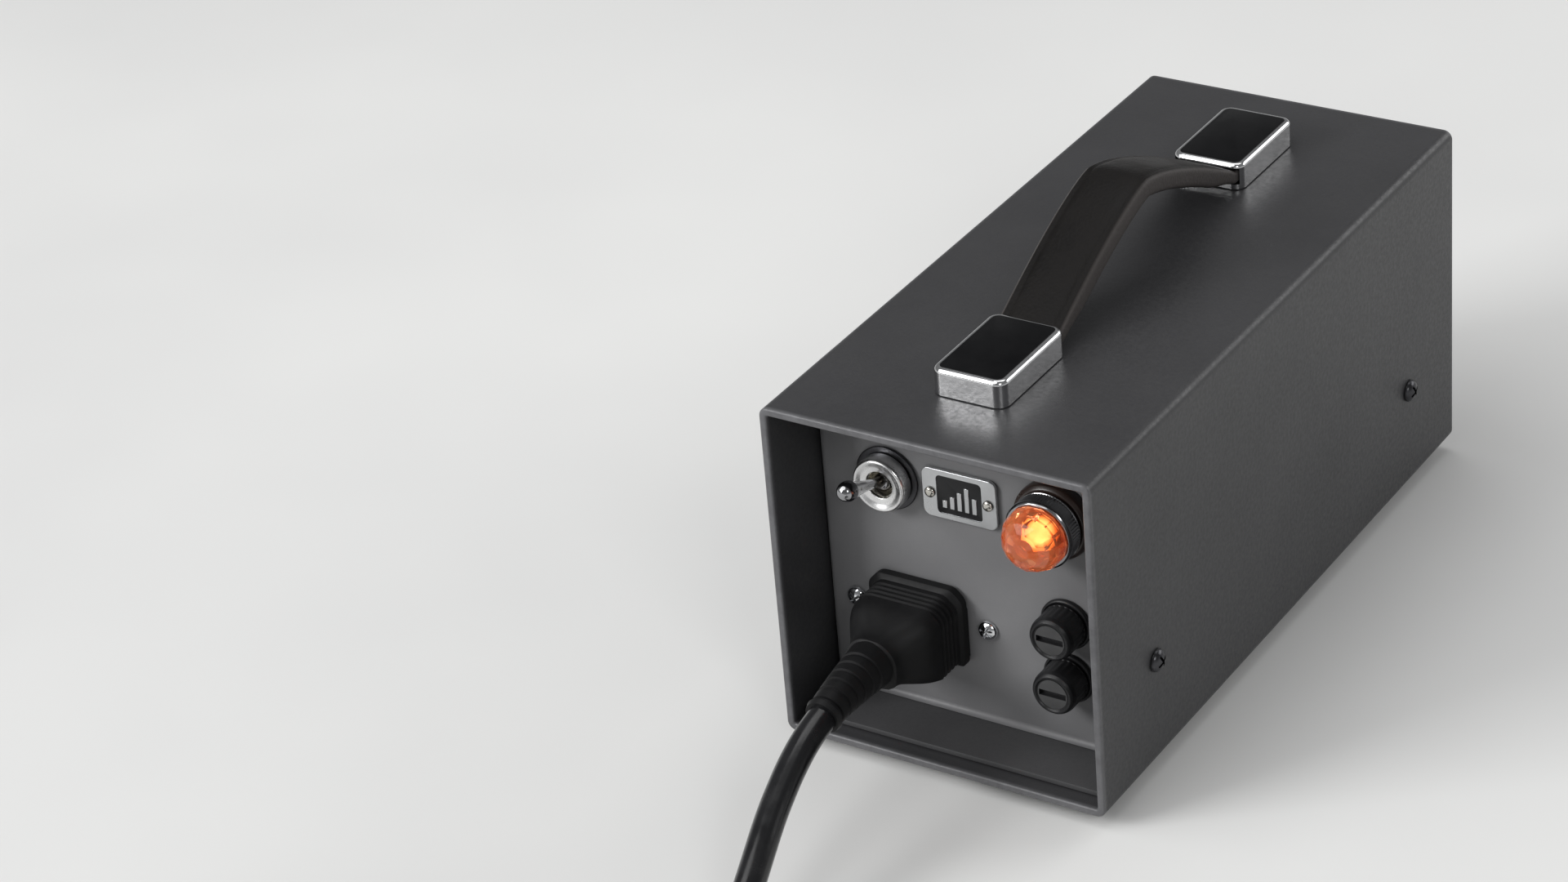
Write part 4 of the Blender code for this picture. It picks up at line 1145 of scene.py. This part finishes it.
def jewel():
    """A hollow dome cut with rows of diamond facets, with a plain shoulder that the ring holds."""
    facets = 14
    rows = [(8.8, 10.3), (8.8, 11.6), (8.35, 13.7), (7.0, 16.1), (4.9, 18.0), (2.4, 19.0)]
    turned = [0.0, 0.0, 0.0, 0.5, 0.0, 0.5]  # each row's own turn, in facets
    shape = bmesh.new()

    def row(radius, height, half=0.0):
        turns = [2 * math.pi * (k + half) / facets for k in range(facets)]
        return [shape.verts.new((*circle_point(radius * MM, turn), height * MM)) for turn in turns]

    def diamonds(below, above, ahead):
        for k in range(facets):
            following = (k + 1) % facets
            near = above[k] if ahead else above[following]
            shape.faces.new((below[k], below[following], near))
            other = (below[following], above[following], above[k]) if ahead else (below[k], near, above[k])
            shape.faces.new(other)

    inner = [row(7.35, 10.3), row(7.35, 9.7), row(6.3, 9.7), row(6.0, 12.4), row(4.7, 14.7), row(2.4, 16.0)]
    outer = [row(radius, height, half) for (radius, height), half in zip(rows, turned)]
    skin(shape, inner)
    skin(shape, [inner[0], outer[0]])
    for k in range(len(rows) - 1):
        if turned[k] == turned[k + 1]:
            skin(shape, outer[k : k + 2])
        else:
            diamonds(outer[k], outer[k + 1], turned[k + 1] > turned[k])
    shape.faces.new(outer[-1])
    shape.faces.new(inner[-1])
    return to_mesh(shape, 8)


def fuse_holders():
    """Two panel holders, each with a fluted cap that has a coin slot, and its glass cartridge."""
    holder = [(4.5, 1.3), (6.4, 1.3), (6.6, 1.6), (6.9, 1.6), (7.3, 1.2), (7.3, 0.3), (6.2, 0.3), (6.2, -26)]
    holder += [(4.9, -28), (4.5, -28)]
    cap = [(0, 9.55), (4.6, 9.55), (4.9, 10.0), (5.4, 10.0), (6.0, 9.3), (6.3, 8.2), (6.3, 2.3), (6.3, 1.9)]
    cap += [(4.2, 1.9), (4.2, -3.6), (2.9, -3.6), (2.9, -0.4), (0, -0.4)]
    flutes = fluted(0.3, 4, 2.2, 8.0, 6.1)
    for name in ("upper", "lower"):
        place = on_front(f"fuse_cap_{name}")
        node = f"fuse_holder_{name}"
        show(f"{node}_tube", lathe(holder, 0.2, 56, ring=True), BLACK_PLASTIC, place, node)
        rides = f"fuse_{name}_cap"
        body = lathe(cap, 0.12, 96, ripple=flutes, angle=50)
        body = combine(body, [block((7.8, 1.7, 2.6), (0, 0, 9.8))], angle=45)
        show(f"fuse_knob_{name}", body, BLACK_PLASTIC, place, f"fuse_cap_{name}", body=rides)
        face = lathe([(0, 9.7), (4.3, 9.7), (4.3, 9.45), (0, 9.45)], 0.06, 48)
        face = combine(face, [block((7.9, 1.8, 2.6), (0, 0, 9.8))], angle=45)
        show(f"fuse_knob_face_{name}", face, GREY_PLASTIC, place, body=rides)
        tube = lathe([(0, -5.2), (2.35, -5.2), (2.35, -16.4), (0, -16.4)], 0.1, 40)
        wire = lathe([(0, -5.0), (0.12, -5.0), (0.12, -16.6), (0, -16.6)], 0, 8)
        parts = [(tube,), (wire, UPRIGHT, 1)]
        for top in (-0.8, -15.4):
            ferrule = [(0, top), (2.6, top), (2.6, top - 5.4), (0, top - 5.4)]
            parts.append((lathe(ferrule, 0.35, 40), UPRIGHT, 1))
        node = f"fuse_cartridge_{name}"
        rides = f"fuse_{name}_cartridge"
        show(f"{node}_tube", merge(*parts), FUSE_GLASS, place, node, body=rides, looks=(NICKEL,))


def mains_inlet():
    """The flanged inlet with its well, three blades and two screws."""
    place = on_front("mains_inlet")
    body, flange = (27, 19.6, 4.8, 1.2), (50, 22.6, 4.8, 2.0)
    rows = [(body, -28), (body, -5), (flange, -5), (flange, -1.9), (body, -1.9), (body, -0.2)]
    rows.append(((26.7, 19.3, 4.7, 1.2), 0))
    sections = [raised(inlet_outline(*outline), z) for outline, z in rows]
    tools = [prism(inlet_outline(24.6, 16.8, 4.2, 0.8), -17, 2)]
    tools += [round_hole(1.8, at(side * 20 * MM, 0, -3 * MM)) for side in (-1, 1)]
    housing = combine(loft(sections, angle=32), tools, angle=32)
    weigh(show("inlet_housing", housing, BLACK_PLASTIC, place, "mains_inlet"))
    centre = middle("mains_inlet")
    for name in ("earth", "live", "neutral"):
        node = f"inlet_pin_{name}"
        pin = middle(node) - centre
        blade = block((2, 4, 23), (0, 0, -14.8), 0.45, 3)
        show(f"{node}_blade", blade, NICKEL, place @ at(pin.x, pin.z, 0), node)
    for node, turn in (("inlet_screw_left", 35), ("inlet_screw_right", -20)):
        show(f"{node}_head", screw(2.9, 1.9, reach=7.5), CHROME, on_front(node) @ spin(turn), node)


# ------------------------ rear panel


def connector_shell(way, depth, *tools):
    """A panel connector's flange and barrel with the bore for its insert, and the flange's two screws."""
    place = on_rear(f"{way}_insert")
    flange = slab(rounded_outline(26, 31, 3.0, 8), 0.3, 2.3, 0.45)
    barrel = lathe([(0, 3.0), (11.1, 3.0), (11.9, 2.5), (11.9, -20), (0, -20)], 0.3, 96)
    bore = lathe([(0, 5), (9.9, 5), (9.5, 2.6), (9.5, -depth), (0, -depth)], 0, 96)
    spots = [at(x * MM, y * MM, 0) for x, y in ((-9.6, 12.2), (9.6, -12.2))]
    seats = [round_hole(1.6, spot) for spot in spots]
    mesh = combine(combine(flange, [barrel], "UNION"), [bore, *tools, *seats], angle=32)
    weigh(show(f"{way}_shell", mesh, CASTING, place, f"{way}_connector"))
    heads = [(screw(2.5, 1.1, 2.4, 1.2, 1.5), spot) for spot in spots]
    show(f"{way}_shell_screws", merge(*heads), BLACK_STEEL, place)
    return place


def input_socket():
    """The microphone's connector, with five contact holes and a latch above them."""
    latch_up = (middle("input_latch").z - middle("input_insert").z) / MM
    place = connector_shell("input", 16, block((6.8, 3.4, 12), (0, latch_up, 0.5)))
    profile = [(0, 2.2), (7.6, 2.2), (7.9, 1.6), (8.4, 1.6), (8.6, 2.4), (9.2, 2.4), (9.2, -15.6), (0, -15.6)]
    hole = [(0, 5), (1.5, 5), (1.1, 2.0), (1.1, -9), (0, -9)]
    holes = [(lathe(hole, 0, 24), polar(5.6, 90 + 72 * k)) for k in range(5)]
    face = combine(lathe(profile, 0.15, 72), holes, angle=32)
    show("input_face", face, BLACK_PLASTIC, place, "input_insert")
    ridges = [block((5.0, 0.3, 0.8), (0, y, 4.9)) for y in (-0.6, 0.0, 0.6)]
    tab = combine(block((6.0, 2.6, 6.4), (0, 0, 1.6), 0.5, 3), ridges, angle=32)
    show("input_latch_tab", tab, CASTING, on_rear("input_latch"), "input_latch", body="input_latch")


def output_socket():
    """The output connector, with three contact pins on a disc."""
    place = connector_shell("output", 14)
    parts = [(lathe([(0, -10.5), (9.2, -10.5), (9.2, -13.6), (0, -13.6)], 0.2, 64),)]
    for k in range(3):
        pin = lathe([(0, 0.9), (0.7, 0.75), (1.2, 0.0), (1.2, -12), (0, -12)], 0.2, 24)
        parts.append((pin, polar(3.6, 270 + 120 * k), 1))
    show("output_contacts", merge(*parts), BLACK_PLASTIC, place, "output_insert", looks=(NICKEL,))


def level_knob():
    """A fluted knob with a pointer, over a scale of eleven ticks."""
    place = on_rear("level_knob")
    profile = [(0, 18.1), (7.2, 18.1), (7.6, 18.5), (8.4, 18.5), (9.15, 17.7), (9.2, 16.9), (9.75, 8.7)]
    profile += [(9.8, 7.4), (10.4, 6.9), (10.4, 5.5), (3.1, 5.5), (3.1, -7), (0, -7)]
    body = lathe(profile, 0.25, 144, ripple=fluted(0.35, 6, 8.6, 17.0, 8.0), angle=50)
    body = combine(body, [block((1.3, 7, 1.6), (0, 6, 18.5))])
    show("level_control_knob", body, KNOB_PLASTIC, place, "level_knob", body="level_knob")
    line = block((1.1, 3.3, 0.5), (0, 4.3, 17.95), 0.1, 1)
    show("level_pointer", line, WHITE_INK, place, body="level_knob")
    ticks = []
    for k in range(11):
        long = 2.4 if k in (0, 5, 10) else 1.6
        ticks.append((block((long, 0.5, 0.12), (12.6 + long / 2, 0, 0.06)), spin(240 - 30 * k)))
    show("level_scale", merge(*ticks), WHITE_INK, place)


# ------------------------ pieces kept from CAD


def paint_node(node, look):
    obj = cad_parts[node]
    obj.data.materials.clear()
    obj.data.materials.append(look)


def inside():
    looks = {
        "lamp_holder": NICKEL,
        "level_control": NICKEL,
        "transformer_core": CORE,
        "transformer_winding": TAPE,
        "circuit_board": BOARD,
        "smoothing_capacitor": SLEEVE_BLUE,
    }
    for node, look in looks.items():
        paint_node(node, look)


camera()
free_cord([boot(), lead_connector(), cord_tie(), *plug()])
floor()
sky()
lights()
sleeve()
tray()
front_panel()
rear_panel()
fasteners()
handle()
power_switch()
name_plate()
pilot_lamp()
fuse_holders()
mains_inlet()
input_socket()
output_socket()
level_knob()
inside()
